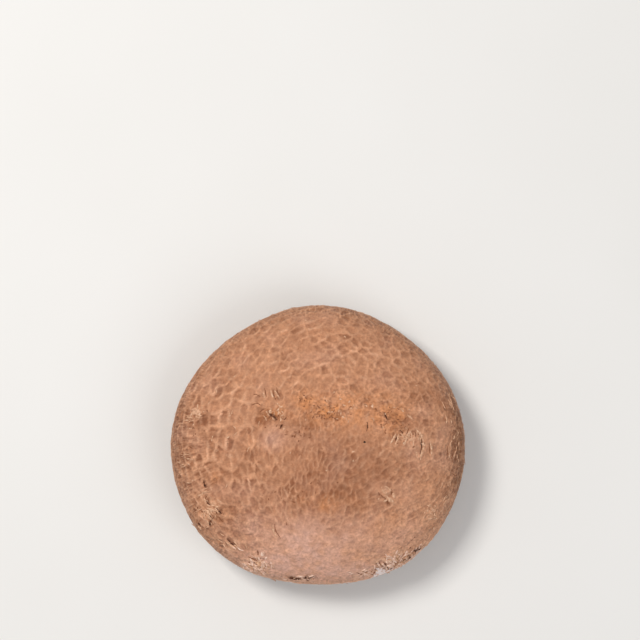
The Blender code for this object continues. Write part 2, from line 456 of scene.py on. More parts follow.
# Loose skin and the floors of splits: darkest and lightest colour.
FLAKE_TINTS = (tint(182, 130, 96), tint(232, 192, 160))
EDGE_TINTS = (tint(182, 130, 96), tint(230, 188, 155))
PALE_EDGE_TINTS = (tint(206, 160, 134), tint(248, 216, 196))
SPLIT_TINTS = (tint(112, 66, 42), tint(142, 90, 60))
DEEP_SPLIT_TINTS = (tint(52, 26, 16), tint(98, 56, 36))
# The gills: darkest, along the free edge, and in the streaks.
GILL_TINT = tint(74, 44, 34)
GILL_EDGE_TINT = tint(122, 84, 66)
GILL_STREAK_TINT = tint(98, 58, 44)
GILL_STREAK = (1.2 * MM, 3.0, 0.6)
GILL_BUMP = (0.06 * MM, 0.7)
# The stem: fibres, stains, the drier cut end and its darkest places.
STEM_TINTS = (tint(206, 176, 142), tint(236, 219, 194))
STEM_STAIN_TINT = tint(176, 130, 96)
STEM_CUT_TINT = tint(189, 151, 112)
STEM_DARK_TINT = tint(104, 68, 46)
STEM_GRAIN = (0.7 * MM, 4.0, 0.6)
STEM_BLOTCH = (5.0 * MM, 3.0, 0.6)
STEM_BUMP = 0.12 * MM
# Fibres are drawn out down the stem and along the gills.
STEM_DRAWN = (1.0, 1.0, 0.12)
GILL_DRAWN = (1.0, 1.0, 3.0)
VEIL_TINTS = (tint(214, 184, 150), tint(240, 226, 204))
VEIL_GRAIN = (0.8 * MM, 4.0, 0.6)
VEIL_BUMP = 0.1 * MM
FLAKE_GRAIN = (0.9 * MM, 3.0, 0.6)
SPLIT_GRAIN = 0.6 * MM
SOIL_TINTS = (tint(28, 20, 16), tint(66, 46, 34))
SOIL_GRAIN = 0.3 * MM
SOIL_BUMP = (0.05 * MM, 1.0)
FLOOR_TINTS = (tint(228, 226, 222), tint(233, 231, 228))
FLOOR_CLOUDS = (90 * MM, 2.0)
# The part of a noise that is drawn out to a full range: its middle, or that and a little more.
MIDDLE = (0.35, 0.65)
MOST = (0.35, 0.7)
STAIN_PART = (0.5, 0.72, 0.0, 0.6)
STREAK_PART = (0.35, 0.7, 0.0, 0.55)
# How rough each finish is.
DRY = 0.75
DULL = 0.8
EARTHY = 0.9
TABLE = 0.6


class Nodes:
    """Builds one material's nodes in short calls."""

    def __init__(self, name, roughness):
        self.material = bpy.data.materials.new(name)
        self.material.use_nodes = True
        self.tree = self.material.node_tree
        self.shader = self.tree.nodes["Principled BSDF"]
        self.shader.inputs["Roughness"].default_value = roughness
        self.shader.inputs["Specular IOR Level"].default_value = GLOSS
        self.place = self.add("ShaderNodeTexCoord").outputs["Object"]

    def add(self, kind, **settings):
        made = self.tree.nodes.new(kind)
        for name, value in settings.items():
            setattr(made, name, value)
        return made

    def feed(self, socket, value):
        """Links an output to an input, or sets the input to a plain value."""
        if isinstance(value, bpy.types.NodeSocket):
            self.tree.links.new(value, socket)
        else:
            socket.default_value = value

    def painted(self, name):
        """The number that the mesh keeps for each of its points under a name."""
        return self.add("ShaderNodeAttribute", attribute_name=name).outputs["Fac"]

    def painted_rows(self, name):
        """The three numbers that the mesh keeps for each of its points under a name."""
        return self.add("ShaderNodeAttribute", attribute_name=name).outputs["Vector"]

    def stretched(self, scale, place=None):
        """The object's own coordinates, or others, scaled each way."""
        mapping = self.add("ShaderNodeMapping")
        self.feed(mapping.inputs["Vector"], place or self.place)
        mapping.inputs["Scale"].default_value = scale
        return mapping.outputs["Vector"]

    def grain(self, size, detail=3.0, rough=0.55, place=None):
        """Noise whose bumps are of a size in metres."""
        texture = self.add("ShaderNodeTexNoise")
        self.feed(texture.inputs["Vector"], place or self.place)
        texture.inputs["Scale"].default_value = 1 / size
        texture.inputs["Detail"].default_value = detail
        texture.inputs["Roughness"].default_value = rough
        return texture.outputs["Fac"]

    def shaken(self, size, reach):
        """The object's own coordinates pushed about by noise, so that what is laid on them looks grown."""
        texture = self.add("ShaderNodeTexNoise")
        self.feed(texture.inputs["Vector"], self.place)
        texture.inputs["Scale"].default_value = 1 / size
        centred = self.add("ShaderNodeVectorMath", operation="SUBTRACT")
        self.feed(centred.inputs[0], texture.outputs["Color"])
        centred.inputs[1].default_value = (0.5, 0.5, 0.5)
        pushed = self.add("ShaderNodeVectorMath", operation="MULTIPLY_ADD")
        self.feed(pushed.inputs[0], centred.outputs["Vector"])
        pushed.inputs[1].default_value = (reach, reach, reach)
        self.feed(pushed.inputs[2], self.place)
        return pushed.outputs["Vector"]

    def cells(self, size, place):
        """How far a point is from the border of its cell in a pattern of grown cells."""
        texture = self.add("ShaderNodeTexVoronoi", feature="DISTANCE_TO_EDGE")
        self.feed(texture.inputs["Vector"], place)
        texture.inputs["Scale"].default_value = 1 / size
        return texture.outputs["Distance"]

    def ranged(self, value, low, high, to_low=0.0, to_high=1.0):
        """A value moved from one range to another and held inside it."""
        made = self.add("ShaderNodeMapRange", clamp=True)
        self.feed(made.inputs["Value"], value)
        for name, number in zip(("From Min", "From Max", "To Min", "To Max"), (low, high, to_low, to_high)):
            made.inputs[name].default_value = number
        return made.outputs["Result"]

    def math(self, kind, a, b):
        made = self.add("ShaderNodeMath", operation=kind)
        self.feed(made.inputs[0], a)
        self.feed(made.inputs[1], b)
        return made.outputs[0]

    def mix(self, share, low, high, kind="MIX"):
        """One colour over another by a share."""
        made = self.add("ShaderNodeMix", data_type="RGBA", blend_type=kind)
        self.feed(made.inputs["Factor"], share)
        self.feed(made.inputs[6], low)
        self.feed(made.inputs[7], high)
        return made.outputs[2]

    def grey(self, value):
        """A grey of a value, to lighten or darken a colour by."""
        made = self.add("ShaderNodeCombineColor")
        for channel in ("Red", "Green", "Blue"):
            self.feed(made.inputs[channel], value)
        return made.outputs["Color"]

    def ragged(self, name, noise_value, low, high):
        """A painted mark whose edge is broken up by noise."""
        mark = self.painted(name)
        reach = self.ranged(mark, 0.0, RAGGED_FULL)
        torn = self.math("MULTIPLY", self.math("SUBTRACT", noise_value, 0.5), reach)
        return self.ranged(self.math("ADD", mark, torn), low, high)

    def bump(self, height, distance, strength=BUMP_STRENGTH, below=None):
        """A surface normal roughened by a height, over an earlier one."""
        made = self.add("ShaderNodeBump")
        made.inputs["Strength"].default_value = strength
        made.inputs["Distance"].default_value = distance
        self.feed(made.inputs["Height"], height)
        if below:
            self.feed(made.inputs["Normal"], below)
        return made.outputs["Normal"]

    def done(self, colour, normal=None, roughness=None):
        self.feed(self.shader.inputs["Base Color"], colour)
        if normal:
            self.feed(self.shader.inputs["Normal"], normal)
        if roughness:
            self.feed(self.shader.inputs["Roughness"], roughness)
        return self.material


def skin_material():
    """Dry tan-brown skin: darker scales, a paler web, rust, rose and cream places, and cracks."""
    n = Nodes("cap_skin", SKIN_ROUGHNESS[2])
    n.shader.inputs["Sheen Weight"].default_value = SKIN_SHEEN
    n.shader.inputs["Sheen Roughness"].default_value = SHEEN_ROUGHNESS
    n.shader.inputs["Specular IOR Level"].default_value = SKIN_GLOSS
    mottle = n.grain(*MOTTLE)
    grain = n.grain(*GRAIN)
    fine = n.grain(*FINE_GRAIN)
    grit = n.painted("grit")
    # Fine cells cover the skin, and drawn-out ones stand upright in the cap's middle.
    shaken = n.shaken(*CELL_SHAKE)
    drawn_out = n.stretched(tuple(1 / side for side in UPRIGHT_CELL), shaken)
    upright = n.math("MULTIPLY", n.ranged(n.cells(1.0, drawn_out), *UPRIGHT_LINES), n.painted("upright"))
    lines = n.math("MAXIMUM", n.ranged(n.cells(CELL_SIZE, shaken), *CELL_LINES), upright)
    # Fibres run outwards: the painted coordinates are the way out, as two shares, and its length.
    growth = n.painted_rows("growth")
    fibre = n.grain(*FIBRE_GRAIN, n.stretched(FIBRE_SCALE, growth))
    hair = n.grain(*FIBRE_GRAIN, n.stretched(HAIR_SCALE, growth))
    fibrous = n.painted("fibrous")
    strands = n.ranged(n.math("MULTIPLY", n.math("ADD", fibre, hair), 0.5), *STRAND_RANGE)
    creases = n.ranged(fibre, *CREASE_RANGE)

    # The tone paint also holds painted shade and painted light: the scales' shaded and lit walls, the
    # ruffles' hollows and crests, and the lower rim.
    colour = n.mix(n.painted("tone"), DARK_SKIN, LIGHT_SKIN)
    # The web paint holds the pale web and fibres, and also a painted highlight on the scales' lit walls.
    for name, over in (("web", WEB_TINT), ("rust", RUST_TINT), ("rose", ROSE_TINT), ("olive", OLIVE_TINT)):
        colour = n.mix(n.painted(name), colour, over)
    colour = n.mix(n.math("MULTIPLY", strands, fibrous), colour, STRAND_TINT)
    colour = n.mix(n.math("MULTIPLY", creases, fibrous), colour, CREASE_TINT)
    speckle = n.math("SUBTRACT", n.grain(*SPECK), 0.5)
    speckle = n.math("MULTIPLY", speckle, n.ranged(grit, *SPECK_RANGE))
    shade = n.math("ADD", n.ranged(mottle, *MOTTLE_SHADE), speckle)
    shade = n.math("ADD", shade, n.math("MULTIPLY", lines, n.ranged(mottle, *LINE_SHADE)))
    colour = n.mix(1.0, colour, n.grey(shade), "MULTIPLY")
    # Torn edges are ragged: fine noise decides how far each painted mark reaches.
    # The stain paint holds real stains and pits, and also painted shadow beside lifted edges and round
    # raised scraps.
    colour = n.mix(n.ragged("stain_and_shadow", grain, *STAIN_AND_SHADOW_SHOWS), colour, STAIN_AND_SHADOW_TINT)
    # The pale paint holds pale scratches, scraps, granules and crests, and also a painted highlight along
    # the outline.
    colour = n.mix(n.ragged("pale", grain, *PALE_SHOWS), colour, PALE_TINT)
    # The flesh paint holds the cream flesh where the skin is torn or thin, and also a painted highlight
    # along the lower rim's outline.
    colour = n.mix(n.ragged("flesh", grain, *FLESH_AND_RIM_LIGHT_SHOWS), colour, n.mix(mottle, *FLESH_AND_RIM_LIGHT_TINTS))
    colour = n.mix(n.ragged("dark", fine, *DARK_SHOWS), colour, DARK_TINT)
    normal = n.bump(lines, LINE_BUMP)
    normal = n.bump(n.math("MULTIPLY", grain, grit), GRIT_BUMP, below=normal)
    normal = n.bump(n.math("MULTIPLY", fibre, fibrous), FIBRE_BUMP, below=normal)
    normal = n.bump(fine, FINE_BUMP, below=normal)
    return n.done(colour, normal, n.ranged(mottle, *SKIN_ROUGHNESS))


def gill_material():
    """Dark chocolate gills, a little paler along their free edges."""
    n = Nodes("gill", DULL)
    streak = n.grain(*GILL_STREAK, n.stretched(GILL_DRAWN))
    colour = n.mix(n.painted("edge"), GILL_TINT, GILL_EDGE_TINT)
    colour = n.mix(n.ranged(streak, *STREAK_PART), colour, GILL_STREAK_TINT)
    return n.done(colour, n.bump(streak, *GILL_BUMP))


def stem_material():
    """Cream fibrous stem with tan stains, and a drier brown cut end."""
    n = Nodes("stem", DRY)
    fibre = n.grain(*STEM_GRAIN, n.stretched(STEM_DRAWN))
    colour = n.mix(n.ranged(fibre, *MOST), *STEM_TINTS)
    colour = n.mix(n.ranged(n.grain(*STEM_BLOTCH), *STAIN_PART), colour, STEM_STAIN_TINT)
    colour = n.mix(n.painted("cut"), colour, STEM_CUT_TINT)
    colour = n.mix(n.painted("dark"), colour, STEM_DARK_TINT)
    return n.done(colour, n.bump(fibre, STEM_BUMP))


def veil_material():
    """Papery cream veil with tan fibres."""
    n = Nodes("veil", DULL)
    fibre = n.grain(*VEIL_GRAIN)
    return n.done(n.mix(n.ranged(fibre, *MOST), *VEIL_TINTS), n.bump(fibre, VEIL_BUMP))


def flake_material(name, tints):
    """Dry loose skin, paler than the skin that it lies on."""
    n = Nodes(name, DRY)
    return n.done(n.mix(n.ranged(n.grain(*FLAKE_GRAIN), *MIDDLE), *tints))


def split_material(name, tints):
    """The shaded floor of a split in the skin."""
    n = Nodes(name, EARTHY)
    return n.done(n.mix(n.ranged(n.grain(SPLIT_GRAIN), *MIDDLE), *tints))


def soil_material():
    """Damp black-brown casing soil."""
    n = Nodes("soil", EARTHY)
    fleck = n.grain(SOIL_GRAIN)
    return n.done(n.mix(fleck, *SOIL_TINTS), n.bump(fleck, *SOIL_BUMP))


def floor_material():
    """A plain pale table with the faintest unevenness."""
    n = Nodes("pale_floor", TABLE)
    return n.done(n.mix(n.grain(*FLOOR_CLOUDS), *FLOOR_TINTS))


# The cap's skin. Places are the photograph's pixels.

# Each zone: place, reach across and down, and strength.
RUST_ZONES = (
    ((350, 408), (54, 20), 0.46),
    ((328, 411), (18, 12), 0.40),
    ((304, 399), (10, 9), 0.42),
    ((391, 419), (19, 14), 0.42),
    ((322, 504), (24, 12), 0.30),
    ((213, 479), (7, 6), 0.45),
    ((274, 416), (12, 9), 0.40),
)
ROSE_ZONES = (
    ((312, 566), (70, 32), 0.80),
    ((296, 534), (36, 20), 0.50),
    ((440, 440), (20, 26), 0.20),
    ((272, 440), (12, 12), 0.35),
    ((262, 566), (24, 12), 0.55),
    ((372, 572), (40, 10), 0.45),
    ((240, 520), (26, 20), 0.22),
    ((348, 528), (28, 20), 0.14),
    ((410, 532), (36, 28), 0.24),
)
BROWN_ZONES = (
    ((335, 462), (52, 40), 0.26),
    ((262, 419), (8, 7), 0.45),
    ((202, 421), (8, 6), 0.50),
    ((214, 481), (5, 5), 0.45),
    ((275, 415), (8, 6.5), 0.60),
    ((365.4, 400.6), (5, 4.6), 0.45),
    ((385, 470), (30, 16), 0.12),
    ((228, 447), (6, 8), 0.25),
    ((300, 424), (26, 10), 0.20),
    ((328, 413), (16, 8), 0.30),
    ((304, 400), (8, 8), 0.14),
    ((392, 420), (15, 11), 0.20),
    ((345, 530), (24, 14), 0.10),
    ((405, 420), (14, 7), 0.15),
    ((446, 398), (8, 16), 0.20),
    ((204, 455), (30, 60), 0.09),
    ((178, 448), (12, 60), 0.27),
    # These three are painted shade: they darken the lower middle, lower left and inner left of the cap
    # where the dome's shading falls.
    ((320, 502), (50, 22), 0.26),
    ((238, 522), (30, 24), 0.22),
    ((250, 462), (14, 40), 0.15),
    ((420, 402), (26, 16), 0.13),
)
TAN_ZONES = (
    ((252, 470), (8, 44), 0.08),
    ((320, 560), (80, 26), 0.28),
    ((262, 560), (18, 10), 0.15),
    ((425, 480), (26, 40), 0.04),
    ((410, 530), (34, 26), 0.17),
    ((340, 580), (60, 10), 0.32),
    ((358, 406), (12, 12), 0.06),
    # These two are painted light: they lighten the lower right rim against the shade on its steep side.
    ((424, 545), (22, 16), 0.14),
    ((392, 570), (24, 8), 0.22),
    ((190, 505), (14, 26), 0.06),
    ((262, 568), (14, 8), 0.20),
)
# Rough torn skin whose small ridges stand up.
RUFFLED_ZONES = (
    ((257, 566), (14, 9), 1.5),
    ((390, 564), (15, 7), 1.5),
    ((410, 439), (17, 12), 0.55),
    ((211, 512), (10, 14), 0.75),
    ((431, 513), (8, 9), 0.7),
    ((196, 418), (9, 8), 0.35),
    ((366, 573), (13, 4), 0.8),
    ((272, 416), (12, 8), 0.25),
    ((336, 412), (40, 14), 0.30),
    ((448, 500), (6, 34), 0.35),
    ((302, 579), (18, 3), 0.9),
    ((405, 556), (12, 7), 1.0),
    ((232, 545), (12, 8), 0.5),
)
GRITTY_ZONES = (
    ((330, 462), (60, 44), -0.10),
    ((196, 430), (14, 40), 0.05),
    ((236, 548), (40, 22), 0.20),
    ((236, 518), (26, 20), 0.22),
    ((320, 560), (80, 26), 0.13),
    ((410, 535), (44, 34), 0.17),
    ((456, 460), (14, 70), 0.28),
    ((418, 470), (30, 50), 0.14),
)
# Small brown freckles.
FRECKLED_ZONES = (
    ((296, 432), (13, 8), 1.0),
    ((300, 494), (34, 14), 0.5),
    ((328, 412), (17, 10), 1.1),
    ((304, 398), (9, 7), 0.8),
    ((391, 419), (17, 13), 0.9),
    ((404, 436), (10, 7), 0.7),
    ((229, 443), (6, 3), 0.6),
    ((316, 452), (40, 20), 0.35),
    ((418, 550), (14, 8), 0.8),
    ((454, 450), (8, 50), 0.7),
)
# Scale size in millimetres, length over width, and how strongly the scales stand out.
SCALE_ZONES = (
    ((286, 468), (30, 50), 2.9, 3.2, 0.78),
    ((325, 462), (30, 44), 2.5, 1.9, 0.66),
    ((360, 462), (24, 40), 3.1, 1.25, 0.58),
    ((222, 430), (34, 40), 5.6, 1.5, 1.08),
    ((226, 400), (24, 14), 4.8, 1.4, 1.70),
    ((248, 470), (14, 50), 4.6, 2.5, 1.05),
    ((246, 525), (36, 26), 5.4, 1.6, 1.20),
    ((190, 466), (14, 60), 4.4, 2.0, 1.10),
    ((320, 556), (80, 26), 3.4, 1.2, 0.65),
    ((400, 520), (48, 42), 3.6, 1.05, 0.75),
    ((432, 440), (34, 46), 3.2, 1.05, 0.65),
    ((350, 405), (60, 18), 2.4, 1.1, 0.60),
    ((318, 340), (120, 46), 4.4, 1.3, 0.85),
)
# Where the scales lie straight down the picture and not round the cap: place and reach.
UPRIGHT_SCALES = ((306, 470), (74, 60))
# Where the rim is painted lighter, as painted light: place and reach, and the ring of the cap and the rings
# that its painted highlight line covers.
LOWER_RIM = ((345, 572), (118, 44))
RIM_HIGHLIGHT_RING = DOME_RINGS - 3
RIM_HIGHLIGHT_WIDTH = 4.5
# The least room between the middles of scales, as a share of their size.
SEED_ROOM = 0.70

# Dark narrow splits: the line's pixels, width in pixels and darkness.
SPLITS = (
    (((267.6, 409.8), (270, 413.7), (272.1, 416.4), (275.1, 417.8), (276.6, 420)), 1.7, 1.0),
    (((273.6, 413.4), (273.8, 416), (275.6, 417.6)), 1.5, 0.85),
    (((271.5, 417.6), (271, 420)), 1.2, 0.4),
    (((278.2, 416.6), (280.4, 415)), 1.3, 0.6),
    (((282.3, 424.4), (280, 427.8)), 1.7, 0.95),
    (((259.4, 412.6), (261.8, 410.4), (264.6, 408.6)), 1.1, 0.4),
    (((286.8, 417), (283.6, 420.4)), 1.2, 0.3),
    (((264.6, 388), (265.2, 391.9), (266.5, 396.6)), 1.2, 0.35),
    (((273, 389.8), (273.2, 394.2), (274.6, 398.2), (276.2, 400.6)), 1.2, 0.45),
    (((276.4, 387.6), (277.8, 392.5), (279.8, 396)), 1.3, 0.55),
    (((253, 394.4), (257, 394.4), (260.5, 396.8)), 0.9, 0.35),
    (((251.7, 404.8), (257, 403), (261.4, 405.6)), 0.9, 0.35),
    (((314, 414), (320, 414.4), (326, 416.4)), 0.9, 0.45),
    (((330, 416.6), (335, 418.4), (339, 421.5)), 1.0, 0.45),
    (((367.2, 422), (367.7, 427.6), (366.3, 431)), 1.3, 0.7),
    (((375, 407.8), (377.8, 411.6)), 1.1, 0.6),
    (((384.5, 412.4), (385.6, 416.4), (387.4, 419.8)), 1.5, 0.8),
    (((386.6, 423), (383.4, 425.8)), 1.0, 0.35),
    (((400.1, 430.5), (403, 433)), 1.2, 0.75),
    (((396.8, 436.6), (395.6, 440.2)), 1.4, 0.7),
    (((409.2, 427.4), (407.8, 431.4), (405.8, 435.6)), 1.3, 0.45),
    (((393.4, 432.4), (392.6, 438)), 1.1, 0.35),
    (((415, 431.4), (415.7, 437)), 1.2, 0.4),
    (((419, 433.8), (421.2, 438.9), (421.8, 446), (420.2, 454)), 1.6, 0.65),
    (((429.2, 443.6), (430, 454)), 1.2, 0.35),
    (((447.4, 446), (447.9, 458.3)), 1.0, 0.45),
    (((203.6, 480.2), (204.5, 484.8), (205.4, 487.6)), 1.6, 0.7),
    (((206.3, 499.4), (207.6, 503.3), (210.2, 505)), 1.4, 0.75),
    (((197, 506.4), (198.5, 509.8)), 1.4, 0.5),
    (((216.6, 508), (219.4, 511.8), (222.7, 514.3)), 1.3, 0.7),
    (((215.8, 511.6), (218, 515)), 1.2, 0.55),
    (((218.6, 517.2), (222.8, 522)), 1.3, 0.6),
    (((208.6, 512.2), (210.6, 516), (212.2, 518.9), (213.8, 517)), 1.3, 0.7),
    (((210.3, 521.2), (209.8, 526.6)), 1.6, 0.75),
    (((198.5, 522.4), (199.6, 526)), 1.8, 0.75),
    (((227, 538.8), (231.3, 543.3), (236.6, 547)), 1.5, 0.8),
    (((274.7, 524.3), (275.4, 530.3), (280.6, 538.6)), 1.3, 0.45),
    (((285.9, 521.3), (287, 525.4)), 0.9, 0.35),
    (((248, 556.8), (251.8, 558.3), (257.6, 561)), 1.4, 0.55),
    (((257.2, 550.2), (258.5, 555.6)), 1.7, 0.5),
    (((263.6, 562.2), (264.6, 564.9), (266.4, 568)), 1.2, 0.5),
    (((260, 567.2), (262.5, 569.4), (265.6, 573)), 1.4, 0.8),
    (((317.2, 405.3), (319.4, 408.2)), 1.3, 0.6),
    (((379, 561.6), (380.9, 565.6)), 1.1, 0.45),
    (((384.2, 562.4), (385.6, 565.6), (388.8, 570)), 1.3, 0.75),
    (((382.6, 566.8), (387, 570.5)), 1.2, 0.75),
    (((389.7, 560.4), (392.7, 563.6), (393.9, 566.3), (391.7, 569)), 1.1, 0.5),
    (((397.2, 559.2), (401.2, 563.4)), 1.1, 0.45),
    (((405.8, 561), (411.2, 557.1)), 1.5, 0.7),
    (((379.6, 563.4), (383.4, 567.4)), 1.2, 0.6),
    (((375.4, 562.6), (378.4, 566.4)), 1.1, 0.5),
    (((395.4, 561.4), (398.4, 565)), 1.2, 0.65),
    (((400.8, 559.8), (403.4, 562.6)), 1.1, 0.55),
    (((387, 570.6), (391.6, 568.6), (394.6, 566)), 1.2, 0.6),
    (((414.4, 549.4), (416.6, 552.8), (420.6, 548.2)), 1.9, 0.8),
    (((360.5, 570), (363.4, 571.5), (366.8, 572.4)), 1.1, 0.5),
    (((356, 571.6), (359.9, 574.2), (363.6, 575.5)), 1.1, 0.4),
    (((367.2, 571.3), (371.3, 572), (372.3, 570.4)), 1.1, 0.5),
    (((375.3, 570.4), (373.7, 573.9), (371.1, 576.4)), 1.0, 0.4),
    (((288.2, 578.2), (292.7, 578.4), (297.3, 579), (301.2, 579.4)), 2.4, 1.0),
    (((302.4, 577.6), (305.2, 578.2), (307.2, 576.9), (310, 578), (313.8, 577)), 2.8, 1.0),
    (((307, 580.2), (309, 581)), 1.3, 0.8),
    (((385.2, 498.4), (387.4, 502.4), (390.4, 505.2)), 1.5, 0.5),
    (((377.8, 491.6), (379.8, 495.8)), 1.3, 0.35),
    (((380.6, 495), (385.4, 498.6), (389.6, 503.6)), 1.2, 0.55),
    (((391.6, 489), (393.2, 494.6)), 0.9, 0.35),
    (((391.2, 490.6), (391.7, 495.6)), 1.3, 0.3),
)
# Pale scratches and lifted edges: the line's pixels, width in pixels and strength.
SCRATCHES = (
    (((263.6, 392.4), (264.4, 398)), 1.3, 0.65),
    (((271, 390.4), (271.8, 395.2), (273.8, 398)), 1.3, 0.6),
    (((274.6, 390.4), (277.2, 394.9), (279.2, 397.6)), 1.2, 0.45),
    (((266, 411), (269, 416)), 1.0, 0.3),
    (((282.8, 427), (284.4, 429.8)), 1.5, 0.6),
    (((277.4, 411), (281, 414)), 1.2, 0.35),
    (((396, 433.4), (390.4, 443.8)), 1.2, 0.35),
    (((398.6, 434), (397.6, 441)), 1.4, 0.35),
    (((409.4, 431.4), (406.4, 438.9), (404, 444.4)), 1.4, 0.55),
    (((416.4, 429.4), (421.2, 435.3), (423.5, 441.4)), 1.3, 0.5),
    (((425, 444.6), (421.7, 452.7), (420.5, 459.8)), 1.4, 0.45),
    (((430.4, 441.4), (431.5, 448.6), (431.3, 456.2)), 1.3, 0.45),
    (((416.4, 451.6), (417.8, 459.2)), 1.0, 0.35),
    (((407.2, 414.6), (413.3, 419.8)), 1.2, 0.35),
    (((400.6, 408), (403.6, 412)), 1.1, 0.3),
    (((449.2, 449.8), (449.7, 457.8)), 1.1, 0.5),
    (((204, 498), (205.7, 503.8)), 1.3, 0.5),
    (((215, 508.4), (218.1, 512.4)), 1.5, 0.75),
    (((208.1, 514.8), (210, 518.6)), 1.3, 0.6),
    (((207.4, 520.6), (208.4, 524.8)), 1.3, 0.6),
    (((202.4, 513.4), (201, 516.4)), 1.2, 0.45),
    (((226, 541.3), (231, 546), (236, 550)), 1.1, 0.5),
    (((272.7, 525.8), (273.5, 532), (277, 537.4)), 1.1, 0.4),
    (((261.8, 561.4), (262.5, 565.4), (264.6, 568)), 1.8, 0.8),
    (((258.8, 567.6), (261, 570.5), (263, 572.6), (265, 575.4)), 1.5, 0.9),
    (((263.4, 551.8), (261.6, 556)), 2.4, 0.6),
    (((252, 555.6), (257, 558.4)), 1.3, 0.4),
    (((426.5, 519.7), (431, 518.6), (435.3, 517.1)), 1.2, 0.6),
    (((432, 507.6), (433.6, 510.4)), 1.5, 0.6),
    (((387.2, 496.6), (389.6, 500), (392.2, 503.6)), 1.6, 0.7),
    (((381.4, 487.4), (383.4, 492.2), (387.4, 496.8)), 1.1, 0.5),
    (((385.2, 485.8), (389.6, 488.6), (391.4, 493)), 1.1, 0.5),
    (((390.6, 497.8), (393.2, 502)), 1.3, 0.3),
    (((393.2, 492.6), (394, 498)), 1.9, 0.4),
    (((386.6, 572.4), (392.7, 569.6), (400.4, 565.5)), 1.3, 0.8),
    (((400.4, 565.5), (408, 560.4), (417, 553), (424.6, 545.6)), 1.1, 0.6),
    (((386.2, 561.8), (391.2, 568.2)), 2.2, 0.85),
    (((393.2, 559), (397.6, 564.2)), 1.6, 0.8),
    (((399.2, 557.6), (402.8, 561.2)), 1.4, 0.7),
    (((376.8, 562.6), (380.4, 567)), 1.3, 0.6),
    (((389.4, 560.2), (392.8, 563.4)), 1.4, 0.65),
    (((406.6, 550.2), (407.4, 552.8)), 1.9, 0.8),
    (((421.6, 544), (422.9, 547.2)), 1.8, 0.7),
    (((424.8, 542.4), (426.6, 544.8)), 1.6, 0.6),
    (((254.8, 564.6), (260.4, 569.8), (265.2, 575.4)), 2.0, 1.1),
    (((248.2, 568.6), (251.6, 571.6), (255, 573.2)), 1.5, 0.7),
    (((358.4, 572.2), (361.9, 572.4), (366.6, 574), (370, 573.9)), 1.1, 0.6),
    (((382.4, 563.6), (384.6, 566.8)), 1.2, 0.6),
    (((447.2, 392.4), (450.8, 400), (453.6, 408.8)), 1.0, 0.45),
    (((450.3, 401.4), (454.2, 410.4)), 1.0, 0.4),
    (((295.4, 577.6), (298.8, 576.2), (304.4, 576.4)), 1.2, 0.5),
)
# Lifted edges of torn skin: place, reach, how many, slant and its spread in degrees, and length and
# width in pixels.
RIDGE_ZONES = (
    ((257, 566), (12, 7), 34, -50, 25, 5.5, 1.2),
    ((390, 563), (12, 6), 34, -50, 30, 5.0, 1.2),
    ((410, 438), (12, 9), 9, 75, 25, 8.0, 1.0),
    ((210, 513), (8, 12), 20, -50, 25, 5.0, 1.0),
    ((432, 513), (6, 8), 12, 20, 40, 4.0, 1.1),
    ((195, 418), (7, 8), 14, 10, 25, 5.0, 0.9),
    ((366, 573), (12, 3), 14, 0, 25, 5.0, 1.0),
    ((404, 556), (9, 5), 12, 40, 25, 4.5, 1.1),
    ((274, 414), (9, 7), 10, -45, 30, 4.0, 0.9),
    ((345, 408), (34, 12), 26, 0, 90, 2.5, 0.8),
    ((302, 578), (14, 2), 8, 0, 15, 5.0, 1.0),
    ((232, 545), (12, 8), 10, -45, 20, 6.0, 0.9),
    ((185, 455), (7, 45), 12, 0, 14, 5.5, 0.8),
    ((200, 500), (8, 20), 14, 20, 15, 6.0, 0.8),
    ((450, 410), (5, 16), 9, -68, 12, 7.0, 0.8),
    ((456, 450), (4, 24), 9, 90, 14, 6.0, 0.8),
    ((447, 500), (5, 20), 9, 66, 14, 6.0, 0.8),
    ((420, 548), (10, 8), 14, 40, 30, 3.5, 1.0),
    ((228, 430), (24, 30), 12, 80, 30, 5.0, 0.8),
)
# Short dark flecks in the skin: place, reach and how many.
FLECK_ZONES = (
    ((328, 413), (17, 8), 26),
    ((304, 398), (8, 6), 8),
    ((391, 419), (16, 12), 18),
    ((296, 432), (13, 9), 14),
    ((275, 416), (8, 6), 8),
    ((405, 438), (11, 8), 10),
    ((209, 514), (9, 13), 14),
    ((196, 430), (10, 20), 8),
    ((456, 455), (5, 50), 22),
    ((416, 551), (12, 8), 14),
    ((391, 564), (11, 6), 14),
    ((260, 564), (12, 8), 14),
    ((300, 496), (34, 14), 12),
    ((302, 578), (14, 2), 8),
)
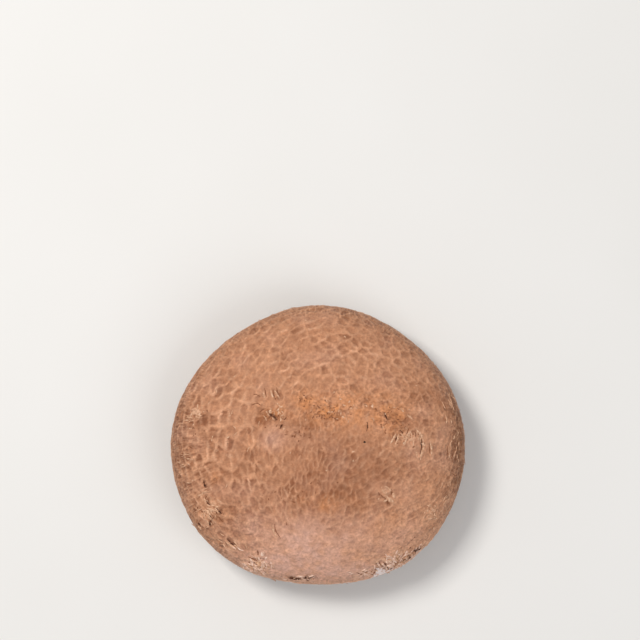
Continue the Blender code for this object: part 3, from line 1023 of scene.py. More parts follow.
# Small dark pits and stains: place, reach and strength.
STAINS = (
    ((273.3, 414.6), (1.0, 1.0), 0.8),
    ((275.2, 418), (1.5, 1.3), 1.0),
    ((279.6, 420.3), (1.0, 1.0), 0.6),
    ((262.5, 414.6), (1.1, 1.0), 0.5),
    ((266.7, 413.7), (0.9, 0.9), 0.5),
    ((227, 443.6), (1.5, 1.0), 0.55),
    ((231.4, 443), (0.9, 1.2), 0.40),
    ((228.8, 421.4), (1.0, 1.1), 0.5),
    ((209.9, 394.9), (2.0, 3.2), 0.30),
    ((183.5, 401.6), (0.9, 2.2), 0.5),
    ((201, 415.6), (1.6, 1.2), 0.5),
    ((193.3, 428.2), (1.2, 1.2), 0.65),
    ((187.6, 441.4), (2.4, 0.9), 0.35),
    ((300.2, 400.3), (1.2, 0.9), 0.6),
    ((365.6, 404.4), (2.6, 1.2), 0.45),
    ((349.6, 397.4), (2.4, 1.0), 0.3),
    ((376.8, 420.1), (1.0, 1.0), 0.65),
    ((399, 430.6), (1.2, 1.0), 0.5),
    ((403.9, 437.9), (1.0, 1.2), 0.55),
    ((386.8, 487.6), (1.4, 1.0), 0.4),
    ((376.7, 498.4), (1.2, 1.6), 0.5),
    ((383.2, 498.2), (1.2, 1.0), 0.35),
    ((386.7, 505.4), (1.2, 1.0), 0.35),
    ((444.4, 409.7), (2.2, 3.6), 0.35),
    ((457.6, 420.8), (1.6, 3.0), 0.55),
    ((456.8, 440.3), (1.8, 2.8), 0.45),
    ((458.5, 449), (1.6, 5), 0.35),
    ((452.3, 474), (2.2, 2.6), 0.4),
    ((446.4, 497.8), (2.6, 2.6), 0.4),
    ((447.6, 506), (1.8, 3.4), 0.35),
    ((437.6, 510.1), (1.4, 1.3), 0.6),
    ((415.6, 550.8), (2.4, 1.7), 1.1),
    ((418.6, 549.2), (1.8, 1.3), 1.0),
    ((409.9, 557.4), (1.8, 1.2), 1.0),
    ((317.4, 578), (1.1, 1.2), 0.6),
    ((326.4, 545.7), (1.0, 0.9), 0.4),
    ((302.8, 537.1), (0.9, 0.9), 0.5),
    ((262.5, 495.6), (0.9, 0.9), 0.45),
    ((294.2, 486.4), (1.3, 0.9), 0.45),
    ((366.4, 519), (1.2, 1.1), 0.25),
    ((203.8, 529.4), (1.8, 1.8), 0.45),
    ((240.6, 560.8), (1.0, 1.1), 0.5),
    ((239.2, 564.4), (1.0, 1.1), 0.55),
    ((255.1, 562.9), (0.9, 0.9), 0.5),
    ((257.4, 568.5), (0.9, 0.9), 0.5),
    ((253.6, 570.8), (1.0, 0.9), 0.5),
    ((260.5, 572.6), (1.0, 0.9), 0.5),
)
# Raised scraps of skin: outline, rise in millimetres and paleness, which also sets how dark the painted
# shadow round them is.
SCRAPS = (
    (
        ((379.5, 490.6), (384.4, 485.4), (389.8, 488.8), (390.8, 492), (386.4, 498), (381, 495.6)),
        0.22,
        0.30,
    ),
    (((193, 409.6), (196.4, 407.6), (202.8, 413.4), (197.4, 414.2), (191.6, 415.6)), 0.16, 0.85),
    (((385.8, 561.2), (389.4, 561.6), (391.6, 565), (389.8, 569), (387.2, 565.6)), 0.20, 0.65),
    (((353, 573.2), (358, 573.8), (361.4, 577.8), (353.4, 580.2)), 0.08, 0.55),
    (((406, 550.6), (408.6, 550.8), (408, 553.4), (405.8, 553.2)), 0.12, 0.7),
    (((403.4, 426.6), (406.4, 426.8), (406.4, 429.6), (403.6, 429.8)), 0.16, 0.45),
    (((225, 453.4), (232.6, 454.6), (236, 457.4), (229, 458.4), (224.6, 456.6)), 0.14, 0.35),
    (((216.6, 447.4), (219.6, 448), (219, 452.4), (216, 452)), 0.10, 0.35),
    (((254.4, 561), (259.6, 560), (263.8, 565.4), (267, 574.6), (262.6, 573.8), (258, 567.6)), 0.20, 0.60),
)
# Where the skin is torn off and the cream flesh shows: outline and sink in millimetres.
TEARS = (
    (
        (
            (375.8, 567.4),
            (378, 569.2),
            (382, 569.4),
            (386, 571),
            (386.4, 573),
            (382, 575.8),
            (376, 577.4),
            (369.6, 580),
            (374.6, 575.4),
            (376.6, 571.4),
        ),
        0.25,
    ),
    (((385.6, 571.4), (394, 567.8), (402, 563.8), (403.6, 565), (395, 569.8), (386.6, 573.8)), 0.10),
)

# Where the left rim is most fibrous, and the right rim darkest: place and reach.
LEFT_RIM = ((192, 466), (26, 70))
RIGHT_RIM = ((458, 456), (10, 80))
OLIVE_RIM = ((462, 450), (11, 90))

# Relief in millimetres.
DENT_SIZE = 26 * MM
DENT_LAYER = 1.7
DENT_FADE = 6 * MM
DENT_RELIEF = 0.8
PLATE_DEPTH = 0.22
PLATE_TILT = 0.08
RIDGE_RELIEF = 0.09
FIBRE_RELIEF = 0.10
GRAIN_RELIEF = 0.05
PIT_RELIEF = 0.16
RUFFLE_RELIEF = 0.30
SPLIT_DEPTH = 0.42
SCRATCH_RELIEF = 0.20
STAIN_DEPTH = 0.20
STREAK_RELIEF = 0.05
RUST_RELIEF = 0.16
MARGIN_RELIEF = 0.12

# Noises over the flat skin: the size of their bumps in millimetres, and a layer of their own. Where a
# noise is one of several that are added, its strength comes first.
LUMPS = ((0.22, 9.0, 4.4), (0.12, 3.5, 6.8))
WARP_ACROSS = ((1.0, 4.0, 3.3), (0.45, 1.5, 8.1))
WARP_UP = ((1.0, 4.0, 14.2), (0.45, 1.5, 19.6))
PATCHES = (7.0, 22.0)
WEB_WIDTHS = (3.0, 25.0)
BROKEN_WEB = (3.2, 71.0)
RIDGE_WIDTHS = (2.0, 73.0)
RUST_CLUMPS = (5.0, 40.0)
GRANULES = (1.05, 41.0)
FRECKLES = (1.25, 42.0)
PITS = (1.3, 43.0)
PALE_GRAINS = (1.2, 44.0)
COARSE = (1.9, 45.0)
BROAD_TONES = ((0.11, 3.4, 46.0), (0.11, 6.0, 48.0))
RUST_CLOUDS = (4.0, 47.0)
ROSE_SPOTS = (3.0, 49.0)
ROSE_CLOUDS = (10.0, 50.0)
RIM_CLOUDS = (4.0, 51.0)
OLIVE_CLOUDS = (3.0, 53.0)
RIM_STAINS = (1.9, 57.0)
ROUGH_EDGES = ((0.6, 0.9, 81.0), (0.5, 1.8, 83.0))
BROKEN_MARKS = (1.5, 85.0)
RUFFLE_BREAKS = (1.6, 92.0)
RUFFLE_STAINS = (1.7, 93.0)
RUFFLE_GAPS = (1.5, 94.0)
TEAR_EDGE = (3.0, 95.0)
TEAR_SKIN = (1.5, 96.0)
TEAR_DIRT = (1.1, 97.0)
RIM_HIGHLIGHT_GAPS = (5.0, 98.0)
# Streaks that run outwards: how many round the cap, their length in millimetres, and a layer.
FIBRES = (300, 7.0, 1.0)
FINE_FIBRES = (620, 4.0, 31.0)
MARGIN_REACH = ((0.14, 230, 9.0, 61.0), (0.20, 60, 20.0, 65.0), (0.10, 520, 6.0, 67.0))
MARGIN_FIBRES = (200, 9.0, 63.0)
# Strands that run round the cap: how many to a turn, their width in millimetres, and a layer.
RIM_STRANDS = (70, 0.9, 55.0)
RUFFLES = (44, 1.3, 91.0)
# Fine streaks straight down the middle: width, length and layer.
UPRIGHT_STREAK = (1.1, 5.0, 27.0)
# Streaks of fibre in neighbouring scales lie this many layers apart, and repeat after so many scales.
SCALE_LAYER = 7.3
SCALE_LAYERS = 23

SKIN_PAINTS = (
    "tone",
    "web",
    "rust",
    "rose",
    "olive",
    "pale",
    "flesh",
    "dark",
    "stain_and_shadow",
    "fibrous",
    "grit",
    "upright",
)
BASE_TONE = 0.54

# Scales where no zone of theirs reaches: a weight, and size, length over width and strength.
PLAIN_WEIGHT = 0.05
PLAIN_SCALE = (3.4, 1.2, 0.6)
SEED_ROUNDS = 200
SEEDS_A_ROUND = 120
# How many points look for their scale at a time.
ROWS_A_TIME = 4000
# The start of each draw of random numbers.
SEED_DRAW = 11
PLATE_DRAW = 5
RIDGE_DRAW = 17
FLECK_DRAW = 29
# Scrambles the numbers of two neighbouring scales into a share of their own.
SCRAMBLE = (0.37, 917.3)
# How far a plate shows, at least and at most.
SHOWN_LIMITS = (0.1, 1.6)
# The web's width as a share of a scale's size, how far that varies, and the width of a plate's wall.
WEB_SHARE = 0.05
WEB_SPREAD = 0.07
WALL_SHARE = 0.20
# How much of the scale's size the shaded and the lit wall take, and how steep a plate leans.
SHADED_WALL = (0.16, 0.5)
SHADED_FOOT = 0.5
LIT_WALL = (0.05, 0.26)
PLATE_LEAN = 1.7
# Which share of plates is worn, and how much of their colour is left.
WORN_FROM = 0.75
WORN_LEFT = 0.35
# A ridge of the web is bold in this range of its draw, and so wide in millimetres.
BOLD_RIDGE = (0.35, 0.95)
RIDGE_WIDTH = (0.6, 0.25)
# Half of a mark's width as a share of the whole: its scale, its ends, and what its middle adds.
SPLIT_SHAPE = (0.7, 0.5, 0.6)
SCRATCH_SHAPE = (0.8, 0.4, 0.75)
MARK_RAGGED = 0.5
BROKEN_LIMITS = (0.15, 1.15)
SPLIT_DARKNESS = 0.7
SPLIT_STAIN = 0.6
STAIN_WIDER = 2.6
SCRATCH_PALENESS = 0.9
# A lifted edge's half width, how far its shade reaches, and the shaded gap beside it, in half widths.
RIDGE_SHARE = 0.6
RIDGE_REACH = 4
GAP_OFF = 1.9
GAP_WIDTH = 1.1
# How dark the painted shadow in that gap is.
GAP_SHADOW = 0.95
# How much of a lifted edge's height is carved into the skin beneath it.
RIDGE_CARVED = 0.5
# How far lifted edges and flecks stray from the middle of their place, as a share of its reach.
RIDGE_STRAY = 0.55
FLECK_STRAY = 0.6
# Limits that lifted edges are drawn between: shares of their length, of half of it and of their
# width, and strengths. Flecks are drawn between lengths and widths in pixels.
RIDGE_HALF = (0.3, 0.75)
RIDGE_BEND = (-0.3, 0.3)
RIDGE_WIDER = (0.7, 1.3)
RIDGE_STRENGTH = (0.4, 0.9)
FLECK_HALF = (0.7, 1.7)
FLECK_WIDTH = (0.7, 1.5)
# How much darker or lighter the parts of the skin are.
PLATE_TONE = 0.03
BROWN_PLATE_TONE = 0.24
SHADED_TONE = 0.27
LIT_TONE = 0.10
WEB_TONE = 0.06
RIDGE_PALENESS = 0.42
LIT_PALENESS = 0.12
STREAK_TONE = 0.13
FIBRE_TONE = 0.28
FIBRE_PALENESS = 0.20
STRAND_TONE = 0.6
GRANULE_TONE = 0.08
COARSE_TONE = 0.12
RUFFLE_LIGHT_AND_SHADE = 0.30
LOWER_RIM_PAINTED_LIGHT = 0.10


def cap_stations():
    """Each ring of the cap from crown to underside: share of radius, height and length of skin."""
    rise = CAP_TOP - WIDEST_HEIGHT
    share = np.sin(np.linspace(0, math.pi / 2, DOME_TRACE))
    height = WIDEST_HEIGHT + rise * np.sqrt(1 - share**DOME_ROUNDNESS)
    dome, dome_lengths = evenly(np.column_stack((share, height)), DOME_RINGS)
    margin, margin_lengths = curve_through(MARGIN, MARGIN_RINGS)
    under, under_lengths = evenly(np.array(UNDERSIDE), UNDER_RINGS)
    seat = [(0.0, UNDERSIDE[-1][1])]
    stations = np.vstack((dome, margin[1:], under[1:], seat))
    lengths = [*dome_lengths]
    lengths += list(lengths[-1] + margin_lengths[1:])
    lengths += list(lengths[-1] + under_lengths[1:])
    lengths.append(lengths[-1] + UNDERSIDE[-1][0] * CAP_RADIUS)
    return stations, np.array(lengths)


def cap_sheet():
    """A grid with rings drawn down from its border and drawn together at the end."""
    piece = grid_piece("cap_body", 2 * DOME_RINGS, 2 * DOME_RINGS)
    bpy.ops.object.mode_set(mode="EDIT")
    bpy.ops.mesh.select_mode(type="EDGE")
    bpy.ops.mesh.select_all(action="DESELECT")
    bpy.ops.mesh.select_non_manifold()
    for _ in range(MARGIN_RINGS + UNDER_RINGS + 1):
        bpy.ops.mesh.extrude_edges_move(TRANSFORM_OT_translate={"value": (0, 0, -1)})
    bpy.ops.mesh.merge(type="CENTER")
    bpy.ops.object.mode_set(mode="OBJECT")
    return piece


def rounded(u, v):
    """The angle that a square's point takes when the square's rings are rounded."""
    side = np.abs(u) >= np.abs(v)
    safe_u = np.where(np.abs(u) < 1e-9, 1.0, u)
    safe_v = np.where(np.abs(v) < 1e-9, 1.0, v)
    flat = math.pi / 4 * v / safe_u + np.where(u < 0, math.pi, 0.0)
    steep = math.pi / 2 - math.pi / 4 * u / safe_v + np.where(v < 0, math.pi, 0.0)
    return np.where(side, flat, steep)


def zone(pixels, place, reach):
    """1 at a pixel of the photograph, fading to nothing beyond its reach."""
    across = (pixels[0] - place[0]) / reach[0]
    down = (pixels[1] - place[1]) / reach[1]
    return np.exp(-(across**2 + down**2))


class Skin:
    """The cap's skin laid out flat, with the relief and the paint that gather on it."""

    def __init__(self, piece):
        self.piece = piece
        stations, lengths = cap_stations()
        u, v, down = points_of(piece).T
        ring = np.rint(np.where(down > -0.5, np.maximum(abs(u), abs(v)) * DOME_RINGS, DOME_RINGS - down))
        self.ring = ring.astype(int)
        self.angle = rounded(u, v)
        self.share, height = stations[self.ring].T
        radius = self.share * CAP_RADIUS
        even = np.column_stack((radius * np.cos(self.angle), radius * np.sin(self.angle), height))
        self.place = grown(even)
        place_points(piece, self.place)
        self.normal = normals_of(piece)
        self.on_top = (self.ring <= DOME_RINGS + 2).astype(float)
        self.pixels = np.array(pixels_of(self.place))
        # The skin laid out flat, in millimetres, with the stem's axis at its middle.
        self.flat_x = lengths[self.ring] * np.cos(self.angle) / MM
        self.flat_y = lengths[self.ring] * np.sin(self.angle) / MM
        out_x = self.flat_x - GROWTH_CENTRE[0] / MM
        out_y = self.flat_y - GROWTH_CENTRE[1] / MM
        self.out = np.hypot(out_x, out_y)
        self.turn = np.arctan2(out_y, out_x)
        last = DOME_RINGS + MARGIN_RINGS
        self.known_lengths = lengths[:last] / MM
        self.known_shares = stations[:last, 0]
        # How far past the rim, from 0 at the rim to 1 at the margin's inner edge.
        self.past_rim = np.clip((self.ring - DOME_RINGS) / MARGIN_RINGS, 0, None)
        self.near_rim = np.where(self.past_rim > 0, 1.0, smooth_step(0.88, 1.0, self.share))
        self.fade = 1 - smooth_step(0.35, 0.95, self.past_rim)
        self.relief = np.zeros(len(u))
        # A number of its own for each scale, which sets its fibres off from its neighbours'.
        self.own_layer = np.zeros(len(u))
        self.paint = {name: np.zeros(len(u)) for name in SKIN_PAINTS}
        self.paint["tone"] += BASE_TONE

    def noise(self, size, layer):
        """Noise over the skin with bumps of a size in millimetres."""
        return noise_at(self.flat_x / size, self.flat_y / size, layer)

    def noises(self, parts):
        """Several noises together: the strength, size and layer of each."""
        return sum(strength * self.noise(size, layer) for strength, size, layer in parts)

    def streaks(self, count, length, layer):
        """Noise in streaks that run outwards: how many round the cap, and their length."""
        ripple = count / math.tau
        return noise_at(np.cos(self.turn) * ripple, np.sin(self.turn) * ripple, self.out / length + layer)

    def strands(self, count, width, layer):
        """Noise in strands that run round the cap: how many to a turn, and their width."""
        ripple = count / math.tau
        return noise_at(np.cos(self.turn) * ripple, np.sin(self.turn) * ripple, self.out / width + layer)

    def zones(self, zones):
        """The strength of several zones together at each point of the upper side."""
        together = sum(strength * zone(self.pixels, place, reach) for place, reach, strength in zones)
        return self.on_top * together

    def nearest(self, pixel):
        """The row of the point of the upper side that a pixel of the photograph shows."""
        off = np.hypot(self.pixels[0] - pixel[0], self.pixels[1] - pixel[1])
        return np.argmin(np.where(self.on_top > 0, off, np.inf))

    def at_pixel(self, pixel):
        """The place on the flat skin that a pixel of the photograph shows."""
        row = self.nearest(pixel)
        return np.array((self.flat_x[row], self.flat_y[row]))

    def pixel_of(self, flat):
        """About which pixel of the photograph shows a place on the flat skin."""
        length = math.hypot(*flat)
        share = np.interp(length, self.known_lengths, self.known_shares)
        plan = np.array(flat) / max(length, 1e-6) * share * CAP_RADIUS / PIXEL
        return np.array((STEM_PIXEL[0] + plan[0], STEM_PIXEL[1] - plan[1]))

    def near_line(self, pixels):
        """Distance to a line of pixels, the side of it, and how far along it, in millimetres."""
        line = [self.at_pixel(pixel) for pixel in pixels]
        best = np.full(len(self.flat_x), np.inf)
        side = np.zeros_like(best)
        along = np.zeros_like(best)
        total = sum(np.hypot(*(b - a)) for a, b in zip(line, line[1:]))
        reached = 0.0
        for a, b in zip(line, line[1:]):
            step = b - a
            span = max(np.hypot(*step), 1e-6)
            step = step / span
            x, y = self.flat_x - a[0], self.flat_y - a[1]
            t = np.clip(x * step[0] + y * step[1], 0, span)
            off = np.hypot(x - step[0] * t, y - step[1] * t)
            closer = off < best
            best = np.where(closer, off, best)
            side = np.where(closer, np.sign(step[0] * y - step[1] * x), side)
            along = np.where(closer, (reached + t) / total, along)
            reached += span
        return best, side, along

    def inside(self, pixels):
        """How far inside an outline of pixels each point lies, in millimetres, and less than 0 outside."""
        corners = [self.at_pixel(pixel) for pixel in pixels]
        off, _, _ = self.near_line([*pixels, pixels[0]])
        within = np.zeros(len(off), bool)
        for (x1, y1), (x2, y2) in zip(corners, corners[1:] + corners[:1]):
            if y1 == y2:
                continue
            crosses = (y1 > self.flat_y) != (y2 > self.flat_y)
            reach = x1 + (self.flat_y - y1) * (x2 - x1) / (y2 - y1)
            within ^= crosses & (self.flat_x < reach)
        return np.where(within, off, -off)

    def deepen(self, name, values):
        """Paints values where they are stronger than what is there."""
        self.paint[name] = np.maximum(self.paint[name], values)

    def finish(self):
        """Moves the points by the relief and gives the mesh its paint."""
        moved = self.relief * (1 - smooth_step(1.0, 1.3, self.past_rim)) * MM
        place_points(self.piece, self.place + self.normal * moved[:, None])
        for name, values in self.paint.items():
            paint(self.piece, name, np.clip(values, 0, 1))
        paint_rows(self.piece, "growth", np.column_stack((np.cos(self.turn), np.sin(self.turn), self.out)))


def scale_fields(pixels):
    """The scales' size, length over width, and strength at pixels of the photograph."""
    total = np.full(np.shape(pixels[0]), PLAIN_WEIGHT)
    size, aspect, strength = (plain * total for plain in PLAIN_SCALE)
    for place, reach, zone_size, zone_aspect, zone_strength in SCALE_ZONES:
        weight = zone(pixels, place, reach)
        total = total + weight
        size = size + weight * zone_size
        aspect = aspect + weight * zone_aspect
        strength = strength + weight * zone_strength
    return size / total, aspect / total, strength / total


def scale_run(pixels, turn):
    """The angle of the scales' long sides on the flat skin: round the cap, but upright in its middle."""
    upright = np.clip(1.3 * zone(pixels, *UPRIGHT_SCALES), 0, 1)
    twice = 2 * (turn + math.pi / 2)
    cos = -upright + (1 - upright) * np.cos(twice)
    sin = (1 - upright) * np.sin(twice)
    return np.arctan2(sin, cos) / 2


def apart(off_x, off_y, run, aspect):
    """Squared distance in a measure that is drawn out along the scales' long sides."""
    stretch = np.sqrt(aspect)
    along = (np.cos(run) * off_x + np.sin(run) * off_y) / stretch
    across = (np.cos(run) * off_y - np.sin(run) * off_x) * stretch
    return along**2 + across**2


def scale_seeds(skin):
    """Where each scale of the skin has its middle, closer together where the scales are small."""
    chance = random.Random(SEED_DRAW)
    reach = float(skin.known_lengths[-1])
    found = np.empty((0, 2))
    for _ in range(SEED_ROUNDS):
        far = np.array([reach * math.sqrt(chance.random()) for _ in range(SEEDS_A_ROUND)])
        angle = np.array([chance.uniform(0, math.tau) for _ in range(SEEDS_A_ROUND)])
        tries = np.column_stack((far * np.cos(angle), far * np.sin(angle)))
        pixels = np.array([skin.pixel_of(place) for place in tries]).T
        out = tries - np.array(GROWTH_CENTRE) / MM
        runs = scale_run(pixels, np.arctan2(out[:, 1], out[:, 0]))
        sizes, aspects, _ = scale_fields(pixels)
        for place, size, run, aspect in zip(tries, sizes, runs, aspects):
            off = found - place
            if len(found) and np.min(apart(off[:, 0], off[:, 1], run, aspect)) < (SEED_ROOM * size) ** 2:
                continue
            found = np.vstack((found, place))
    return found


def nearest_scales(skin, seeds, aspect):
    """Each point's border, scale, next scale, how lengthways their border runs, and its place."""
    x = skin.flat_x + skin.noises(WARP_ACROSS)
    y = skin.flat_y + skin.noises(WARP_UP)
    run = scale_run(skin.pixels, skin.turn)
    border = np.empty(len(x))
    owner = np.empty(len(x), int)
    neighbour = np.empty(len(x), int)
    lengthways = np.empty(len(x))
    for first in range(0, len(x), ROWS_A_TIME):
        rows = slice(first, first + ROWS_A_TIME)
        off_x = seeds[:, 0] - x[rows, None]
        off_y = seeds[:, 1] - y[rows, None]
        square = apart(off_x, off_y, run[rows, None], aspect[rows, None])
        two = np.argpartition(square, 1, axis=1)[:, :2]
        index = np.arange(len(off_x))
        in_order = square[index, two[:, 0]] <= square[index, two[:, 1]]
        near = np.where(in_order, two[:, 0], two[:, 1])
        far = np.where(in_order, two[:, 1], two[:, 0])
        step_x, step_y = (seeds[far] - seeds[near]).T
        between = np.sqrt(apart(step_x, step_y, run[rows], aspect[rows]))
        border[rows] = (square[index, far] - square[index, near]) / (2 * between + 1e-6)
        owner[rows] = near
        neighbour[rows] = far
        lengthways[rows] = np.abs(np.sin(np.arctan2(step_y, step_x) - run[rows]))
    return border, owner, neighbour, lengthways, np.column_stack((x, y)) - seeds[owner]


def lay_unevenness(skin):
    """Broad dents, as the solid has them, and smaller lumps."""
    broad = noise_at(skin.place[:, 0] / DENT_SIZE, skin.place[:, 1] / DENT_SIZE, DENT_LAYER)
    high = smooth_step(WIDEST_HEIGHT, WIDEST_HEIGHT + DENT_FADE, skin.place[:, 2])
    skin.relief += DENT_RELIEF * broad * high * skin.on_top
    skin.relief += skin.noises(LUMPS)


def lay_scales(skin):
    """Darker plates, sunk a little between paler ridges that come and go."""
    size, aspect, strength = scale_fields(skin.pixels)
    border, owner, neighbour, lengthways, off = nearest_scales(skin, scale_seeds(skin), aspect)
    dip, brown, worn = np.random.default_rng(PLATE_DRAW).random((owner.max() + 1, 3))[owner].T
    patchy = 0.5 + 0.9 * skin.noise(*PATCHES)
    shown = np.clip(strength * (0.5 + 0.9 * patchy), *SHOWN_LIMITS) * skin.fade
    web = size * (WEB_SHARE + WEB_SPREAD * skin.noise(*WEB_WIDTHS))
    plate = smooth_step(web, web + WALL_SHARE * size, border)
    # Light comes from the picture's upper left: there a plate's wall is in shade, and its other is lit.
    lean = np.clip(PLATE_LEAN * (off[:, 1] - off[:, 0]) / size, -1, 1)
    foot = smooth_step(web, web + SHADED_FOOT, border)
    shaded = np.clip(lean, 0, 1) * foot * (1 - smooth_step(*SHADED_WALL, border / size))
    lit = np.clip(-lean, 0, 1) * (1 - smooth_step(*LIT_WALL, border / size))
    skin.relief -= shown * plate * (PLATE_DEPTH * (0.4 + 0.9 * dip) + PLATE_TILT * lean)
    # Each pair of neighbours shares one ridge of the web, which is bold, faint or missing.
    pair = (owner + 1.0) * (neighbour + 1.0) * SCRAMBLE[0] + owner + neighbour
    bold = (np.sin(pair) * SCRAMBLE[1]) % 1.0
    line = np.clip(smooth_step(*BOLD_RIDGE, bold) + 0.8 * skin.noise(*BROKEN_WEB), 0, 1.2)
    line *= 0.25 + 0.85 * lengthways**2
    width = RIDGE_WIDTH[0] + RIDGE_WIDTH[1] * skin.noise(*RIDGE_WIDTHS)
    ridge = np.exp(-((border / width) ** 2)) * line
    skin.relief += RIDGE_RELIEF * ridge * shown
    skin.own_layer = SCALE_LAYER * (owner % SCALE_LAYERS)
    colour_left = np.where(worn > WORN_FROM, WORN_LEFT, 1.0)
    dark = plate * (PLATE_TONE + BROWN_PLATE_TONE * brown**2) + SHADED_TONE * shaded
    skin.paint["tone"] += shown * colour_left * (LIT_TONE * lit - dark)
    skin.paint["tone"] += WEB_TONE * shown * (1 - plate)
    skin.paint["web"] += RIDGE_PALENESS * ridge * shown + LIT_PALENESS * lit * shown
    upright = zone(skin.pixels, *UPRIGHT_SCALES) * skin.on_top
    width, length, layer = UPRIGHT_STREAK
    streak = noise_at(skin.flat_x / width, skin.flat_y / length, layer)
    skin.paint["tone"] += STREAK_TONE * streak * upright
    skin.paint["upright"] += upright
    skin.relief += STREAK_RELIEF * streak * upright


def lay_fibres(skin):
    """Fibres that run outwards, strongest towards the rim, and strands round it at the right."""
    fibre = skin.streaks(*FIBRES[:2], FIBRES[2] + skin.own_layer)
    fibre += 0.6 * skin.streaks(*FINE_FIBRES[:2], FINE_FIBRES[2] + skin.own_layer)
    left = zone(skin.pixels, *LEFT_RIM) * skin.on_top
    right = zone(skin.pixels, *RIGHT_RIM) * skin.on_top
    fibrous = np.clip(0.10 + 0.7 * skin.near_rim * (1 - 0.6 * right) + 0.45 * left, 0, 1.0)
    skin.paint["fibrous"] += fibrous
    skin.relief += FIBRE_RELIEF * fibre * (fibrous + 0.6 * left)
    skin.paint["tone"] += FIBRE_TONE * fibre * (fibrous + 0.9 * left)
    skin.paint["web"] += FIBRE_PALENESS * np.clip(fibre, 0, 1) * fibrous * skin.fade
    strand = skin.strands(*RIM_STRANDS)
    skin.relief += 1.2 * FIBRE_RELIEF * strand * right
    skin.paint["tone"] += STRAND_TONE * strand * right
    skin.deepen("stain_and_shadow", 0.85 * right * smooth_step(0.08, 0.36, skin.noise(*RIM_STAINS)))
    skin.deepen("pale", 0.3 * right * smooth_step(0.2, 0.5, strand))


def lay_colours(skin):
    """Rust, rose, brown and tan places with their freckles, pits and granules, and the rim."""
    coarse = skin.noise(*COARSE)
    grain = skin.noise(*GRANULES)
    rust = np.clip(skin.zones(RUST_ZONES), 0, 1)
    clumps = smooth_step(-0.25, 0.35, skin.noise(*RUST_CLUMPS))
    skin.relief += GRAIN_RELIEF * (grain + coarse) + RUST_RELIEF * coarse * rust * clumps
    soft = skin.zones(GRITTY_ZONES)
    uneven = 1 + 2.0 * rust * clumps + 1.2 * soft
    skin.paint["tone"] += GRANULE_TONE * grain + COARSE_TONE * coarse * uneven
    skin.paint["tone"] += skin.noises(BROAD_TONES) * (1 + 2.5 * rust + 7 * np.clip(soft, 0, 1))
    skin.paint["rose"] += 0.22 * skin.noise(*ROSE_CLOUDS)
    skin.paint["tone"] += skin.zones(TAN_ZONES) - skin.zones(BROWN_ZONES) * (1 + 0.6 * coarse)
    skin.paint["rust"] += rust * (0.75 + 0.6 * coarse + 0.9 * skin.noise(*RUST_CLOUDS))
    skin.paint["rose"] += skin.zones(ROSE_ZONES) * (0.85 + 0.5 * skin.noise(*ROSE_SPOTS))
    freckled = np.clip(skin.zones(FRECKLED_ZONES), 0, 1)
    skin.deepen("stain_and_shadow", 0.85 * freckled * smooth_step(0.16, 0.36, skin.noise(*FRECKLES)))
    # Small pits between the granules.
    granular = np.clip(rust * 1.5, 0, 1) * (0.35 + 0.65 * clumps)
    pits = smooth_step(0.10, 0.42, -skin.noise(*PITS)) * granular
    skin.relief -= PIT_RELIEF * pits
    skin.deepen("stain_and_shadow", 0.75 * pits)
    skin.deepen("pale", 0.35 * smooth_step(0.15, 0.45, skin.noise(*PALE_GRAINS)) * granular)
    # A thin painted highlight along the outline, pale and flesh-coloured, strongest at the lower rim, where
    # there is no olive.
    lower = np.clip(1.2 * zone(skin.pixels, *LOWER_RIM), 0, 1)
    edge = np.exp(-(((skin.ring - RIM_HIGHLIGHT_RING) / RIM_HIGHLIGHT_WIDTH) ** 2))
    edge *= 1 + 1.2 * skin.noise(*RIM_HIGHLIGHT_GAPS)
    skin.deepen("pale", (0.32 + 0.6 * lower) * edge)
    skin.deepen("flesh", 0.42 * lower * edge)
    # Painted light: the lower rim is painted lighter and given less olive, against the shade that falls on
    # its steep side.
    rim = skin.near_rim * (0.5 + 0.5 * skin.noise(*RIM_CLOUDS)) * 0.45 * (1 - 0.75 * lower)
    skin.paint["tone"] += LOWER_RIM_PAINTED_LIGHT * skin.near_rim * lower
    right = zone(skin.pixels, *OLIVE_RIM) * skin.on_top
    skin.paint["olive"] += rim + 0.58 * right * (0.75 + 0.5 * skin.noise(*OLIVE_CLOUDS))
    # How gritty the skin looks close to: most in the rust and at the rim.
    skin.paint["grit"] += 0.22 + 0.6 * granular + 0.2 * skin.near_rim + soft


def random_ridges():
    """Lifted edges strewn over the torn places: lines of pixels, with widths and strengths."""
    chance = random.Random(RIDGE_DRAW)
    ridges = []
    for place, reach, count, slant, spread, length, width in RIDGE_ZONES:
        for _ in range(count):
            x = chance.gauss(place[0], RIDGE_STRAY * reach[0])
            y = chance.gauss(place[1], RIDGE_STRAY * reach[1])
            angle = math.radians(chance.gauss(slant, spread))
            half = length * chance.uniform(*RIDGE_HALF)
            bend = half * chance.uniform(*RIDGE_BEND)
            step_x, step_y = half * math.cos(angle), -half * math.sin(angle)
            middle = (x + bend * math.sin(angle), y + bend * math.cos(angle))
            line = ((x - step_x, y - step_y), middle, (x + step_x, y + step_y))
            ridges.append((line, width * chance.uniform(*RIDGE_WIDER), chance.uniform(*RIDGE_STRENGTH)))
    return ridges


def random_flecks():
    """Short dark splits strewn over the flecked places: lines of pixels, with widths."""
    chance = random.Random(FLECK_DRAW)
    flecks = []
    for place, reach, count in FLECK_ZONES:
        for _ in range(count):
            x = chance.gauss(place[0], FLECK_STRAY * reach[0])
            y = chance.gauss(place[1], FLECK_STRAY * reach[1])
            angle = chance.uniform(0, math.pi)
            half = chance.uniform(*FLECK_HALF)
            step_x, step_y = half * math.cos(angle), half * math.sin(angle)
            line = ((x - step_x, y - step_y), (x + step_x, y + step_y))
            flecks.append((line, chance.uniform(*FLECK_WIDTH)))
    return flecks


